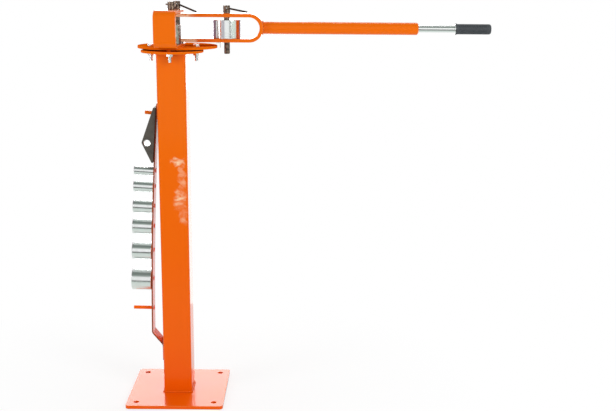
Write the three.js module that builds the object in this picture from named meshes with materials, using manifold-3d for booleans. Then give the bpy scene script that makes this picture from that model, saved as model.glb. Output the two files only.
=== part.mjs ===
// Compact lever bender on a pedestal.
// A square column on a floor plate carries a round bending table and a U-shaped frame. A lever arm
// swings round the centre pin and wraps the stock round a die. Spare dies hang on a rack.
// Millimetres, +Z up, +X along the lever at rest, +Y away from the operator's side.
// The origin is the underside of the floor plate, on the column's axis.

import * as THREE from "three";
import { mergeVertices } from "three/addons/utils/BufferGeometryUtils.js";
import Module from "manifold-3d";

const wasm = await Module();
wasm.setup();

// Clearances
const seatGap = 0.3; // between a piece and the slanted or turned face that it is seated on
const boreClearance = 0.3; // radial, round pins, bolts, pegs and the telescopic rod

// Floor plate and column
const plateWidth = 275;
const plateThickness = 10;
const plateCornerRadius = 11;
const anchorHoleDiameter = 15;
const anchorHoleInset = 27.5; // from the plate's edges to the hole's centre
const columnWidth = 80;
const columnWall = 4;
const columnCornerRadius = 6;
const columnLeastInnerRadius = 1;
const columnHeight = 978;

// Column flange and bending table
const flangeDiameter = 170;
const flangeThickness = 6;
const tableDiameter = 220;
const tableThickness = 7;
const tablePadDiameter = 16; // round the bolt holes, under the table
const tablePadHeight = 3;
const centrePinX = 9; // centre pin from the column's axis
const centrePinY = 47;

// Flange bolts
const boltDiameter = 10;
const sideBoltReach = 62; // each side of their middle
const sideBoltShift = 4; // their middle from the column's axis, towards the lever
const frontBoltReach = 54; // from the column's axis
const boltHeadFlats = 17;
const boltHeadHeight = 6.4;
const nutHeight = 8.4;
const boltPastNut = 13;

// Dies
const headDieLength = 51; // the dies in the arm and the frame
const storedDieLength = 56;
const dieChamfer = 1.2;
const followerDiameter = 76.2;
const fixedDieDiameter = 50.8;
const storedDieDiameters = [25.4, 31.75, 38.1, 44.45, 50.8, 63.5];

// Straps of the swing arm and the U-frame
const noseRadius = 22; // their open ends, round the centre pin
const taperReach = 51; // centre pin to where the taper reaches the strap's full width
const armWidth = 60;
const armThickness = 10;
const armHeadroom = 7; // above the follower die, under the arm's upper leg
const armStraight = 200; // centre pin to the start of the round end
const spacerDiameter = 34;
const spacerThickness = 2;
const frameWidth = 60;
const frameThickness = 8;
const frameHeadroom = 3; // above the arm, under the frame's upper leg
const frameBendRadius = 20; // outside
const frameReach = 151; // centre pin to the outside of the closed end
const frameTurn = THREE.MathUtils.degToRad(-6);
const frameHeading = frameTurn - Math.PI / 2; // from the centre pin to the closed end

// Pins with folding levers
const pinDiameter = 16;
const pinPastTable = 5; // centre pin's tip below the table
const pinTipChamfer = 1.5;
const pinHeadDiameter = 19;
const pinHeadHeight = 21;
const leverPivotHeight = 14; // above the head's seat
const leverDiameter = 5;
const leverLength = 58.5;
const leverEyeDiameter = 11;
const leverSlotWidth = 6;
const leverSlotFloor = 7; // above the head's seat
const crossPinDiameter = 4;
const crossPinStickout = 5;
const followerPinRadius = 137; // from the centre pin
const fixedPinRadius = 66; // from the centre pin
const fixedPinLeverTurn = THREE.MathUtils.degToRad(97);

// Handle
const tubeDiameter = 33.7;
const tubeWall = 6;
const tubeEndChamfer = 4;
const tubeCopeDepth = 1; // how far the tube's blank starts inside the arm, before it is coped
const tubeEnd = 666; // centre pin to the tube's outer end
const rodDiameter = 20;
const rodVisible = 103; // between the tube and the grip
const rodInTube = 220;
const rodChamfer = 1;
const gripDiameter = 28;
const gripLength = 98;
const gripLipDiameter = 31;
const gripLipLength = 4;
const gripEndWall = 6;
const gripEndRadius = 6;
const collarDiameter = 29;
const collarLength = 2.5;
const collarChamfer = 0.5;

// Angle pointer under the arm
const pointerThickness = 3.4;
const pointerWidth = 20;
const pointerFootLength = 14;
const pointerDrop = 15;
const pointerGapToTable = 8;

// Rack
const rackWidth = 44;
const rackThickness = 4;
const rackTopHeight = 850;
const rackBendHeight = 186; // where the strap turns in to the column
const rackLandingHeight = 149; // where the strap meets the column
const rackFootHeight = 102;
const rackLowerStandoff = 34; // outer face from the column, at the lower bend
const rackLowerLean = 0.01; // rise over run at the lower bend
const rackSteps = 14;
const pegDiameter = 10;
const pegLength = 54;
const pegBackStickout = 2;
const pegChamfer = 1;
const blockPegLength = 33;
const blockPegBelowTop = 30; // below the strap's top end
// From the angle block's toe down to each die peg and on to the lower bend. The pegs share out
// that height in these steps. The last peg is empty.
const pegSteps = [25, 45, 57, 58, 71, 84, 89, 69];

// Angle block
const blockThickness = 54;
const blockDepth = 34;
const blockBelowPeg = 136;
const blockAbovePeg = 18;
const blockTopDepth = 7;
const blockToeDepth = 4;
const blockNoseHeight = 55; // above the block's toe
const blockNoseRadius = 8;
const blockBoreDiameter = 17.4;
const blockBoreFromNose = 15.2;

// Sides of round pieces. An arc in an outline gets twice its number of steps.
const wideSides = 72;
const dieSides = 36;
const pinSides = 24;
const smallSides = 12;
const arcSteps = 7;
const cornerSteps = 3;

// Levels worked out from the sizes above
const boreRadius = pinDiameter / 2 + boreClearance;
const flangeBottom = plateThickness + columnHeight;
const tableBottom = flangeBottom + flangeThickness + tablePadHeight;
const tableTop = tableBottom + tableThickness;
const armInnerHeight = headDieLength + armHeadroom;
const armHeight = armInnerHeight + 2 * armThickness;
const frameInnerHeight = spacerThickness + armHeight + frameHeadroom;
const frameHeight = frameInnerHeight + 2 * frameThickness;
const armBottom = tableTop + frameThickness + spacerThickness;
const armEndRadius = armHeight / 2;
const armReach = armStraight + armEndRadius;
const pinLength = frameHeight + tableThickness + pinPastTable;

// Finishes
const orangePaint = { color: 0xf07000, roughness: 0.35, metalness: 0 };
const zincPlate = { color: 0xc6ccc6, roughness: 0.3, metalness: 0.9 };
const blackOxide = { color: 0x3a3632, roughness: 0.5, metalness: 0.6 };
const blackPaint = { color: 0x4a4a44, roughness: 0.6, metalness: 0 };
const greyRubber = { color: 0x4b5055, roughness: 0.8, metalness: 0 };

const bender = new THREE.Group();

function addPiece(parent, name, geometry, finish) {
  const piece = new THREE.Mesh(geometry, new THREE.MeshStandardMaterial(finish));
  piece.name = name;
  parent.add(piece);
  return piece;
}

function addGroup(parent, x, y, z) {
  const group = new THREE.Group();
  group.position.set(x, y, z);
  parent.add(group);
  return group;
}

// A closed mesh as a solid that can be joined and cut.
function toSolid(geometry) {
  const bare = geometry.clone();
  bare.deleteAttribute("normal");
  bare.deleteAttribute("uv");
  const merged = mergeVertices(bare);
  const corners = merged.index.array;
  const triangles = [];
  for (let i = 0; i < corners.length; i += 3) {
    const [a, b, c] = [corners[i], corners[i + 1], corners[i + 2]];
    if (a !== b && b !== c && c !== a) triangles.push(a, b, c);
  }
  return new wasm.Manifold(new wasm.Mesh({
    numProp: 3,
    vertProperties: new Float32Array(merged.attributes.position.array),
    triVerts: new Uint32Array(triangles),
  }));
}

function toGeometry(solid) {
  const mesh = solid.getMesh();
  const geometry = new THREE.BufferGeometry();
  geometry.setAttribute("position", new THREE.BufferAttribute(mesh.vertProperties, 3));
  geometry.setIndex(new THREE.BufferAttribute(mesh.triVerts, 1));
  geometry.computeVertexNormals();
  return geometry;
}

// A round bar along +Z that starts at the given point.
function bar(radius, length, sides, x = 0, y = 0, z = 0) {
  const geometry = new THREE.CylinderGeometry(radius, radius, length, sides);
  geometry.rotateX(Math.PI / 2);
  geometry.translate(x, y, z + length / 2);
  return geometry;
}

// A profile of [radius, height] points, turned round +Z and closed on itself or on the axis.
function revolve(profile, sides) {
  const points = profile.map(([radius, height]) => new THREE.Vector2(radius, height));
  if (profile[0][0] > 0) points.push(points[0].clone());
  const geometry = new THREE.LatheGeometry(points, sides);
  geometry.rotateX(Math.PI / 2);
  return geometry;
}

// A ring with chamfered outer edges, from z = 0 to its length.
function ring(outerRadius, innerRadius, length, chamfer, sides) {
  return revolve([
    [innerRadius, 0],
    [outerRadius - chamfer, 0],
    [outerRadius, chamfer],
    [outerRadius, length - chamfer],
    [outerRadius - chamfer, length],
    [innerRadius, length],
  ], sides);
}

// A bar with chamfered ends, from z = 0 to its length.
function chamferedBar(radius, length, chamfer, sides) {
  return revolve([
    [0, 0],
    [radius - chamfer, 0],
    [radius, chamfer],
    [radius, length - chamfer],
    [radius - chamfer, length],
    [0, length],
  ], sides);
}

function extrude(shape, depth, curveSegments = cornerSteps) {
  return new THREE.ExtrudeGeometry(shape, { depth, bevelEnabled: false, curveSegments });
}

// An outline drawn in X and Z, given its width along Y, centred on Y = 0.
function extrudeAlongY(shape, width, curveSegments) {
  const geometry = extrude(shape, width, curveSegments);
  geometry.rotateX(Math.PI / 2);
  geometry.translate(0, width / 2, 0);
  return geometry;
}

function addHole(shape, x, y, radius, sides) {
  const points = [];
  for (let i = 0; i < sides; i++) {
    const angle = (-2 * Math.PI * i) / sides;
    points.push(new THREE.Vector2(x + radius * Math.cos(angle), y + radius * Math.sin(angle)));
  }
  shape.holes.push(new THREE.Path(points));
}

function roundedSquare(width, radius) {
  const half = width / 2;
  const inner = half - radius;
  const shape = new THREE.Shape();
  shape.absarc(inner, inner, radius, 0, Math.PI / 2);
  shape.absarc(-inner, inner, radius, Math.PI / 2, Math.PI);
  shape.absarc(-inner, -inner, radius, Math.PI, 1.5 * Math.PI);
  shape.absarc(inner, -inner, radius, 1.5 * Math.PI, 2 * Math.PI);
  shape.closePath();
  return shape;
}

function cutAll(geometry, cutters) {
  let solid = toSolid(geometry);
  for (const cutter of cutters) solid = solid.subtract(toSolid(cutter));
  return toGeometry(solid);
}

// Points that several pieces share, seen from above

const boltCentres = [
  { name: "front", x: 0, y: -frontBoltReach },
  { name: "left", x: sideBoltShift - sideBoltReach, y: 0 },
  { name: "right", x: sideBoltShift + sideBoltReach, y: 0 },
];
const centrePin = new THREE.Vector2(centrePinX, centrePinY);
const fixedPin = new THREE.Vector2(fixedPinRadius, 0)
  .rotateAround(new THREE.Vector2(), frameHeading)
  .add(centrePin);

// A point in the frame's own axes: X from the centre pin towards the closed end.
function inFrame({ x, y }) {
  return new THREE.Vector2(x, y).sub(centrePin).rotateAround(new THREE.Vector2(), -frameHeading);
}

// Pedestal

function makeBasePlate() {
  const shape = roundedSquare(plateWidth, plateCornerRadius);
  const reach = plateWidth / 2 - anchorHoleInset;
  for (const x of [-reach, reach]) {
    for (const y of [-reach, reach]) addHole(shape, x, y, anchorHoleDiameter / 2, pinSides);
  }
  addPiece(bender, "base_plate", extrude(shape, plateThickness), orangePaint);
}

function makeColumn() {
  const shape = roundedSquare(columnWidth, columnCornerRadius);
  const innerWidth = columnWidth - 2 * columnWall;
  const innerRadius = Math.max(columnCornerRadius - columnWall, columnLeastInnerRadius);
  shape.holes.push(roundedSquare(innerWidth, innerRadius));
  const piece = addPiece(bender, "column", extrude(shape, columnHeight), orangePaint);
  piece.position.z = plateThickness;
}

// A round plate with the bores of the bolts, the centre pin and the fixed pin.
function makeRoundPlate(name, diameter, thickness, x, y, bottom, padHeight) {
  const shape = new THREE.Shape().absarc(0, 0, diameter / 2, 0, 2 * Math.PI);
  for (const pin of [centrePin, fixedPin]) addHole(shape, pin.x - x, pin.y - y, boreRadius, pinSides);
  let solid = toSolid(extrude(shape, thickness, wideSides / 2));
  const bores = [];
  for (const bolt of boltCentres) {
    const at = [bolt.x - x, bolt.y - y, -padHeight];
    if (padHeight > 0) {
      solid = solid.add(toSolid(bar(tablePadDiameter / 2, padHeight + thickness / 2, smallSides, ...at)));
    }
    bores.push(bar(boltDiameter / 2 + boreClearance, 2 * (padHeight + thickness), smallSides,
      at[0], at[1], -padHeight - thickness / 2));
  }
  const piece = addPiece(bender, name, cutAll(toGeometry(solid), bores), orangePaint);
  piece.position.set(x, y, bottom);
}

function makeFlangeBolts() {
  const shankRadius = boltDiameter / 2;
  const cornerRadius = boltHeadFlats / Math.sqrt(3);
  const tip = flangeBottom - nutHeight - boltPastNut;
  for (const { name, x, y } of boltCentres) {
    const seat = name === "front" ? tableTop + frameThickness : tableTop;
    const head = bar(cornerRadius, boltHeadHeight, 6, 0, 0, seat);
    const shank = bar(shankRadius, seat + boltHeadHeight / 2 - tip, smallSides, 0, 0, tip);
    const bolt = toSolid(head).add(toSolid(shank));
    addPiece(bender, `flange_bolt_${name}`, toGeometry(bolt), zincPlate).position.set(x, y, 0);
    const blank = bar(cornerRadius, nutHeight, 6, 0, 0, flangeBottom - nutHeight);
    const bore = bar(shankRadius + boreClearance, 2 * nutHeight, smallSides,
      0, 0, flangeBottom - 1.5 * nutHeight);
    const nut = addPiece(bender, `flange_nut_${name}`, cutAll(blank, [bore]), zincPlate);
    nut.position.set(x, y, 0);
  }
}

// U-frame and swing arm

// A flat strap bent to a U that lies on its side. Seen along Y its legs run along X from the open
// end round the pin at X = 0 to the closed end at +reach. Seen from above each leg tapers to a
// round nose.
function makeBentStrap({ reach, height, thickness, width, bendRadius, steps }) {
  const bendStart = reach - bendRadius;
  const innerRadius = bendRadius - thickness;
  const shape = new THREE.Shape();
  shape.moveTo(-noseRadius, 0);
  shape.lineTo(bendStart, 0);
  shape.absarc(bendStart, bendRadius, bendRadius, -Math.PI / 2, 0);
  shape.absarc(bendStart, height - bendRadius, bendRadius, 0, Math.PI / 2);
  shape.lineTo(-noseRadius, height);
  shape.lineTo(-noseRadius, height - thickness);
  shape.lineTo(bendStart, height - thickness);
  shape.absarc(bendStart, height - bendRadius, innerRadius, Math.PI / 2, 0, true);
  shape.absarc(bendStart, bendRadius, innerRadius, 0, -Math.PI / 2, true);
  shape.lineTo(-noseRadius, thickness);
  shape.closePath();
  const strap = toSolid(extrudeAlongY(shape, width, steps));
  const half = width / 2;
  const noseEnd = Math.atan2(half, taperReach)
    + Math.acos(noseRadius / Math.hypot(taperReach, half));
  const plan = new THREE.Shape();
  plan.absarc(0, 0, noseRadius, noseEnd, 2 * Math.PI - noseEnd);
  plan.lineTo(taperReach, -half);
  plan.lineTo(reach + half, -half);
  plan.lineTo(reach + half, half);
  plan.lineTo(taperReach, half);
  plan.closePath();
  return strap.intersect(toSolid(extrude(plan, height, arcSteps)));
}

function makeFrame(group) {
  let frame = makeBentStrap({
    reach: frameReach, height: frameHeight, thickness: frameThickness, width: frameWidth,
    bendRadius: frameBendRadius, steps: cornerSteps,
  });
  for (const x of [0, fixedPinRadius]) {
    frame = frame.subtract(toSolid(bar(boreRadius, 2 * frameHeight, pinSides, x, 0, -frameHeight / 2)));
  }
  const frontBolt = inFrame(boltCentres[0]);
  const boltBore = bar(boltDiameter / 2 + boreClearance, 2 * frameThickness, smallSides,
    frontBolt.x, frontBolt.y, -frameThickness / 2);
  frame = frame.subtract(toSolid(boltBore));
  addPiece(group, "u_frame", toGeometry(frame), orangePaint);
}

function makeArm(group) {
  let arm = makeBentStrap({
    reach: armReach, height: armHeight, thickness: armThickness, width: armWidth,
    bendRadius: armEndRadius, steps: arcSteps,
  });
  for (const x of [0, followerPinRadius]) {
    arm = arm.subtract(toSolid(bar(boreRadius, 2 * armHeight, pinSides, x, 0, -armHeight / 2)));
  }
  addPiece(group, "swing_arm", toGeometry(arm), orangePaint);
}

// The pointer hangs from the arm's underside, just outside the table's rim.
function makePointer(group) {
  const legX = tableDiameter / 2 + pointerGapToTable;
  const outerX = legX + pointerThickness;
  const shape = new THREE.Shape();
  shape.moveTo(outerX, 0);
  shape.lineTo(outerX - pointerFootLength, 0);
  shape.lineTo(outerX - pointerFootLength, -pointerThickness);
  shape.lineTo(legX, -pointerThickness);
  shape.lineTo(legX, -pointerDrop);
  shape.lineTo(outerX, -pointerDrop);
  shape.closePath();
  addPiece(group, "angle_pointer", extrudeAlongY(shape, pointerWidth), zincPlate);
}

// Pins with folding levers

// The angle below level at which a lever's tip just clears a face that lies lower.
function restAngle(faceBelowPivot) {
  const radius = leverDiameter / 2;
  const drop = faceBelowPivot - seatGap;
  return Math.asin(drop / Math.hypot(leverLength, radius)) - Math.atan2(radius, leverLength);
}

function makePinBody() {
  const headRadius = pinHeadDiameter / 2;
  const body = revolve([
    [0, -pinLength],
    [pinDiameter / 2 - pinTipChamfer, -pinLength],
    [pinDiameter / 2, pinTipChamfer - pinLength],
    [pinDiameter / 2, 0],
    [headRadius, 0],
    [headRadius, pinHeadHeight],
    [0, pinHeadHeight],
  ], pinSides);
  const slotBack = leverEyeDiameter / 2 + boreClearance;
  const slot = new THREE.BoxGeometry(slotBack + pinHeadDiameter, leverSlotWidth, pinHeadHeight);
  slot.translate((pinHeadDiameter - slotBack) / 2, 0, leverSlotFloor + pinHeadHeight / 2);
  const crossBore = bar(crossPinDiameter / 2 + boreClearance, 2 * pinHeadDiameter, smallSides,
    0, 0, -pinHeadDiameter);
  crossBore.rotateX(Math.PI / 2);
  crossBore.translate(0, 0, leverPivotHeight);
  return cutAll(body, [slot, crossBore]);
}

function makeCrossPin() {
  const length = pinHeadDiameter + crossPinStickout;
  const geometry = bar(crossPinDiameter / 2, length, smallSides, 0, 0, -pinHeadDiameter / 2);
  geometry.rotateX(-Math.PI / 2);
  geometry.translate(0, 0, leverPivotHeight);
  return geometry;
}

// A lever along +X from its eye, which turns on the cross pin.
function makeLever() {
  const eyeThickness = leverSlotWidth - 2 * boreClearance;
  const eye = bar(leverEyeDiameter / 2, eyeThickness, pinSides, 0, 0, -eyeThickness / 2);
  eye.rotateX(Math.PI / 2);
  const crossRadius = crossPinDiameter / 2 + boreClearance;
  const eyeBore = bar(crossRadius, 2 * eyeThickness, smallSides, 0, 0, -eyeThickness);
  eyeBore.rotateX(Math.PI / 2);
  const rodStart = (crossRadius + leverEyeDiameter / 2) / 2;
  const rod = bar(leverDiameter / 2, leverLength - rodStart, smallSides, 0, 0, rodStart);
  rod.rotateY(Math.PI / 2);
  return toGeometry(toSolid(eye).subtract(toSolid(eyeBore)).add(toSolid(rod).subtract(toSolid(eyeBore))));
}

// A pin in its group, with its head's seat at z = 0 and its lever pointing along +X.
function makePin(group, name, leverDrop) {
  addPiece(group, `${name}_pin`, makePinBody(), blackOxide);
  addPiece(group, `${name}_cross_pin`, makeCrossPin(), blackOxide);
  const lever = addPiece(group, `${name}_lever`, makeLever(), blackOxide);
  lever.position.z = leverPivotHeight;
  lever.rotation.y = leverDrop;
}

function makePins(armGroup) {
  const frameTop = tableTop + frameHeight;
  const restOnSeat = restAngle(leverPivotHeight);
  const restOnArm = restAngle(leverPivotHeight + frameTop - armBottom - armHeight);
  makePin(addGroup(bender, centrePin.x, centrePin.y, frameTop), "centre", restOnArm);
  const fixedGroup = addGroup(bender, fixedPin.x, fixedPin.y, frameTop);
  fixedGroup.rotation.z = fixedPinLeverTurn;
  makePin(fixedGroup, "fixed", restOnSeat);
  makePin(addGroup(armGroup, followerPinRadius, 0, armHeight), "follower", restOnSeat);
}

// Handle, along +X from the arm's round end

function makeHandle(armGroup) {
  const group = addGroup(armGroup, 0, 0, armHeight / 2);
  const tubeRadius = tubeDiameter / 2;
  const boreOfTube = tubeRadius - tubeWall;
  const tubeStart = armStraight + Math.sqrt(armEndRadius ** 2 - tubeRadius ** 2) - tubeCopeDepth;
  const tube = revolve([
    [boreOfTube, tubeStart],
    [tubeRadius, tubeStart],
    [tubeRadius, tubeEnd - tubeEndChamfer],
    [tubeRadius - tubeEndChamfer, tubeEnd],
    [boreOfTube, tubeEnd],
  ], dieSides);
  tube.rotateY(Math.PI / 2);
  const saddle = bar(armEndRadius + seatGap, 2 * armWidth, wideSides, 0, 0, -armWidth);
  saddle.rotateX(Math.PI / 2);
  saddle.translate(armStraight, 0, 0);
  addPiece(group, "handle_tube", cutAll(tube, [saddle]), orangePaint);

  const gripStart = tubeEnd + rodVisible;
  const rodInGrip = gripLength - gripEndWall - seatGap;
  const rodLength = rodInTube + rodVisible + rodInGrip;
  const rod = chamferedBar(rodDiameter / 2, rodLength, rodChamfer, pinSides);
  rod.translate(0, 0, tubeEnd - rodInTube);
  rod.rotateY(Math.PI / 2);
  addPiece(group, "handle_rod", rod, zincPlate);

  const rodBore = rodDiameter / 2 + boreClearance;
  const collar = ring(collarDiameter / 2, rodBore, collarLength, collarChamfer, pinSides);
  collar.translate(0, 0, gripStart - collarLength);
  collar.rotateY(Math.PI / 2);
  addPiece(group, "grip_collar", collar, zincPlate);

  const gripRadius = gripDiameter / 2;
  const profile = [
    [0, gripLength - gripEndWall],
    [rodBore, gripLength - gripEndWall],
    [rodBore, 0],
    [gripLipDiameter / 2, 0],
    [gripLipDiameter / 2, gripLipLength / 2],
    [gripRadius, gripLipLength],
  ];
  for (let i = 0; i <= cornerSteps; i++) {
    const angle = (i / cornerSteps) * (Math.PI / 2);
    profile.push([
      gripRadius - gripEndRadius * (1 - Math.cos(angle)),
      gripLength - gripEndRadius * (1 - Math.sin(angle)),
    ]);
  }
  profile.push([0, gripLength]);
  const grip = revolve(profile, pinSides);
  grip.translate(0, 0, gripStart);
  grip.rotateY(Math.PI / 2);
  addPiece(group, "handle_grip", grip, greyRubber);
}

// Rack on the column's side

const rackHeight = rackTopHeight - rackBendHeight;
const blockPegHeight = rackTopHeight - blockPegBelowTop;
const pegRoom = blockPegHeight - blockBelowPeg - rackBendHeight;
const pegStepSum = pegSteps.reduce((sum, step) => sum + step);
const pegHeights = [];
let pegsAboveBend = pegRoom;
for (const step of pegSteps.slice(0, -1)) {
  pegsAboveBend -= (step / pegStepSum) * pegRoom;
  pegHeights.push(rackBendHeight + pegsAboveBend);
}
const rackBow = rackLowerStandoff - rackThickness - seatGap - rackLowerLean * rackHeight;

// The rack strap's outer face from the column at a height. It bows out towards its lower bend.
function rackStandoff(height) {
  const rise = height - rackBendHeight;
  return rackLowerStandoff - rackLowerLean * rise - rackBow * (rise / rackHeight) ** 2;
}

function rackLean(height) {
  const rise = height - rackBendHeight;
  return Math.atan(rackLowerLean + (2 * rackBow * rise) / rackHeight ** 2);
}

// A group on the strap's outer face, with -X straight out from the strap.
function addStation(height) {
  const station = addGroup(bender, -columnWidth / 2 - rackStandoff(height), 0, height);
  station.rotation.y = rackLean(height);
  return station;
}

// The second side of a strip, one thickness from its first side, with mitred corners.
function offsetSide(points, thickness) {
  return points.map((point, i) => {
    const before = points[Math.max(i - 1, 0)];
    const after = points[Math.min(i + 1, points.length - 1)];
    const into = point.clone().sub(before).normalize();
    const out = after.clone().sub(point).normalize();
    if (i === 0) into.copy(out);
    if (i === points.length - 1) out.copy(into);
    const along = into.clone().add(out).normalize();
    const across = new THREE.Vector2(along.y, -along.x);
    const mitre = thickness / across.dot(new THREE.Vector2(into.y, -into.x));
    return point.clone().addScaledVector(across, mitre);
  });
}

function makeRackStrap() {
  const outer = [
    new THREE.Vector2(rackThickness, rackFootHeight),
    new THREE.Vector2(rackThickness, rackLandingHeight),
  ];
  for (let i = 0; i <= rackSteps; i++) {
    const height = rackBendHeight + (rackHeight * i) / rackSteps;
    outer.push(new THREE.Vector2(rackStandoff(height), height));
  }
  const inner = offsetSide(outer, -rackThickness).reverse();
  const columnSide = -columnWidth / 2;
  const outline = [...outer, ...inner];
  const shape = new THREE.Shape(outline.map(({ x, y }) => new THREE.Vector2(columnSide - x, y)));
  const bores = [];
  for (const height of [...pegHeights, blockPegHeight]) {
    const length = 4 * rackThickness;
    const bore = bar(pegDiameter / 2 + boreClearance, length, smallSides, 0, 0, -length / 2);
    bore.rotateY(Math.PI / 2 + rackLean(height));
    bore.translate(columnSide - rackStandoff(height), 0, height);
    bores.push(bore);
  }
  addPiece(bender, "rack_strap", cutAll(extrudeAlongY(shape, rackWidth), bores), orangePaint);
}

// A peg along -X that passes through the strap and stands out behind it.
function makePeg(station, name, length, backStickout) {
  const back = rackThickness + backStickout;
  const geometry = chamferedBar(pegDiameter / 2, length + back, pegChamfer, smallSides);
  geometry.translate(0, 0, -back);
  geometry.rotateY(-Math.PI / 2);
  addPiece(station, name, geometry, orangePaint);
}

function makeRack() {
  makeRackStrap();
  const hang = boreRadius - pegDiameter / 2 - seatGap;
  pegHeights.forEach((height, i) => {
    const station = addStation(height);
    makePeg(station, `die_peg_${i + 1}`, pegLength, pegBackStickout);
    if (i >= storedDieDiameters.length) return;
    const die = ring(storedDieDiameters[i] / 2, boreRadius, storedDieLength, dieChamfer, dieSides);
    die.rotateY(-Math.PI / 2);
    const piece = addPiece(station, `stored_die_${i + 1}`, die, zincPlate);
    piece.position.set(-seatGap, 0, -hang);
  });
}

// A wedge with a bore across its nose. A hole through its thin end takes the rack's top peg.
function makeAngleBlock() {
  const station = addStation(blockPegHeight);
  makePeg(station, "block_peg", blockPegLength, 0);
  const toe = -blockBelowPeg;
  const nose = toe + blockNoseHeight;
  const upperSlope = Math.atan2(blockDepth - blockTopDepth, blockAbovePeg - nose);
  const lowerSlope = Math.atan2(blockDepth - blockToeDepth, nose - toe);
  const noseCentre = blockDepth - blockNoseRadius;
  const shape = new THREE.Shape();
  shape.moveTo(0, toe);
  shape.lineTo(0, blockAbovePeg);
  shape.lineTo(-blockTopDepth, blockAbovePeg);
  shape.absarc(-noseCentre, nose, blockNoseRadius, Math.PI - upperSlope, Math.PI + lowerSlope);
  shape.lineTo(-blockToeDepth, toe);
  shape.closePath();
  const bore = bar(blockBoreDiameter / 2, 2 * blockThickness, pinSides, 0, 0, -blockThickness);
  bore.rotateX(Math.PI / 2);
  bore.translate(blockBoreFromNose - blockDepth, 0, nose);
  const pegHole = bar(pegDiameter / 2 + boreClearance, 4 * blockDepth, smallSides, 0, 0, -2 * blockDepth);
  pegHole.rotateY(Math.PI / 2);
  const block = addPiece(station, "angle_block",
    cutAll(extrudeAlongY(shape, blockThickness), [bore, pegHole]), blackPaint);
  block.position.x = -seatGap;
}

// Assembly

makeBasePlate();
makeColumn();
makeRoundPlate("column_flange", flangeDiameter, flangeThickness, 0, 0, flangeBottom, 0);
makeRoundPlate("bending_table", tableDiameter, tableThickness, centrePin.x, centrePin.y, tableBottom,
  tablePadHeight);
makeFlangeBolts();

const frameGroup = addGroup(bender, centrePin.x, centrePin.y, tableTop);
frameGroup.rotation.z = frameHeading;
makeFrame(frameGroup);

const spacer = addPiece(bender, "arm_spacer",
  ring(spacerDiameter / 2, boreRadius, spacerThickness, seatGap, pinSides), zincPlate);
spacer.position.set(centrePin.x, centrePin.y, tableTop + frameThickness);

const armGroup = addGroup(bender, centrePin.x, centrePin.y, armBottom);
makeArm(armGroup);
makePointer(armGroup);
makePins(armGroup);
makeHandle(armGroup);

const followerDie = addPiece(armGroup, "follower_die",
  ring(followerDiameter / 2, boreRadius, headDieLength, dieChamfer, dieSides), zincPlate);
followerDie.position.set(followerPinRadius, 0, armThickness);

const fixedDie = addPiece(bender, "fixed_die",
  ring(fixedDieDiameter / 2, boreRadius, headDieLength, dieChamfer, dieSides), zincPlate);
fixedDie.position.set(fixedPin.x, fixedPin.y, tableTop + frameThickness);

makeRack();
makeAngleBlock();

export default bender;
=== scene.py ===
import math
from contextlib import contextmanager

import bmesh
import bpy
from mathutils import Matrix, Vector


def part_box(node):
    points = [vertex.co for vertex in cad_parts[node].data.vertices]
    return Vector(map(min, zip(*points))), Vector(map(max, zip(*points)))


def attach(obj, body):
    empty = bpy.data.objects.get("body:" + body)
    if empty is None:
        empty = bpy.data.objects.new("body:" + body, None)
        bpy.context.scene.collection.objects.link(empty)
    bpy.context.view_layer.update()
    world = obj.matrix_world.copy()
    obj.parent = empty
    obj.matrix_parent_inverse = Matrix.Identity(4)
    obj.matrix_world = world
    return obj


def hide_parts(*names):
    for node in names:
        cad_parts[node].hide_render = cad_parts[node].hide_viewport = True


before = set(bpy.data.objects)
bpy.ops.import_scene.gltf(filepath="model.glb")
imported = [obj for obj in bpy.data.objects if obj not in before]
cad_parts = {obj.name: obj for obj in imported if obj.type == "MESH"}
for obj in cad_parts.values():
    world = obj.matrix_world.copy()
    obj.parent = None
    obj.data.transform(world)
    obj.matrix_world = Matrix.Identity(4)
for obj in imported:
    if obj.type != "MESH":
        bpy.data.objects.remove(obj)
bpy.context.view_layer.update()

# A compact lever bender on a pedestal. Sizes are in millimetres and colours in sRGB hex.
# +X runs along the lever at rest, +Y away from the operator's side and +Z up the column.

MM = 0.001  # a millimetre in metres
FIT = 0.3  # clearance round pins, bolts, pegs and the rod, and behind what is seated
OVER = 1  # how far a cutter runs past what it cuts
SHARP_TURN = 35  # degrees from which an edge is sharp

# Pedestal
PLATE_WIDTH, PLATE_THICKNESS, PLATE_CORNER = 275, 10, 11
ANCHOR_REACH, ANCHOR_RADIUS = 110, 7.5
COLUMN_WIDTH, COLUMN_WALL, COLUMN_CORNER, COLUMN_TOP = 80, 4, 6, 988
FLANGE_RADIUS, FLANGE_TOP = 85, 994
TABLE_RADIUS, TABLE_BOTTOM, TABLE_TOP, PAD_RADIUS = 110, 997, 1004, 8
# Each bolt's x and y, and the level that its head seats on.
BOLTS = {"front": (0, -54, 1012), "left": (-58, 0, 1004), "right": (66, 0, 1004)}
BOLT_FLATS, BOLT_HEAD, BOLT_RADIUS, BOLT_TIP = 17, 6.4, 5, 964.6
BOLT_PITCH, THREAD_DEPTH, THREAD_TOP, NUT_HEIGHT = 1.5, 0.85, 984.5, 8.4

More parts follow.
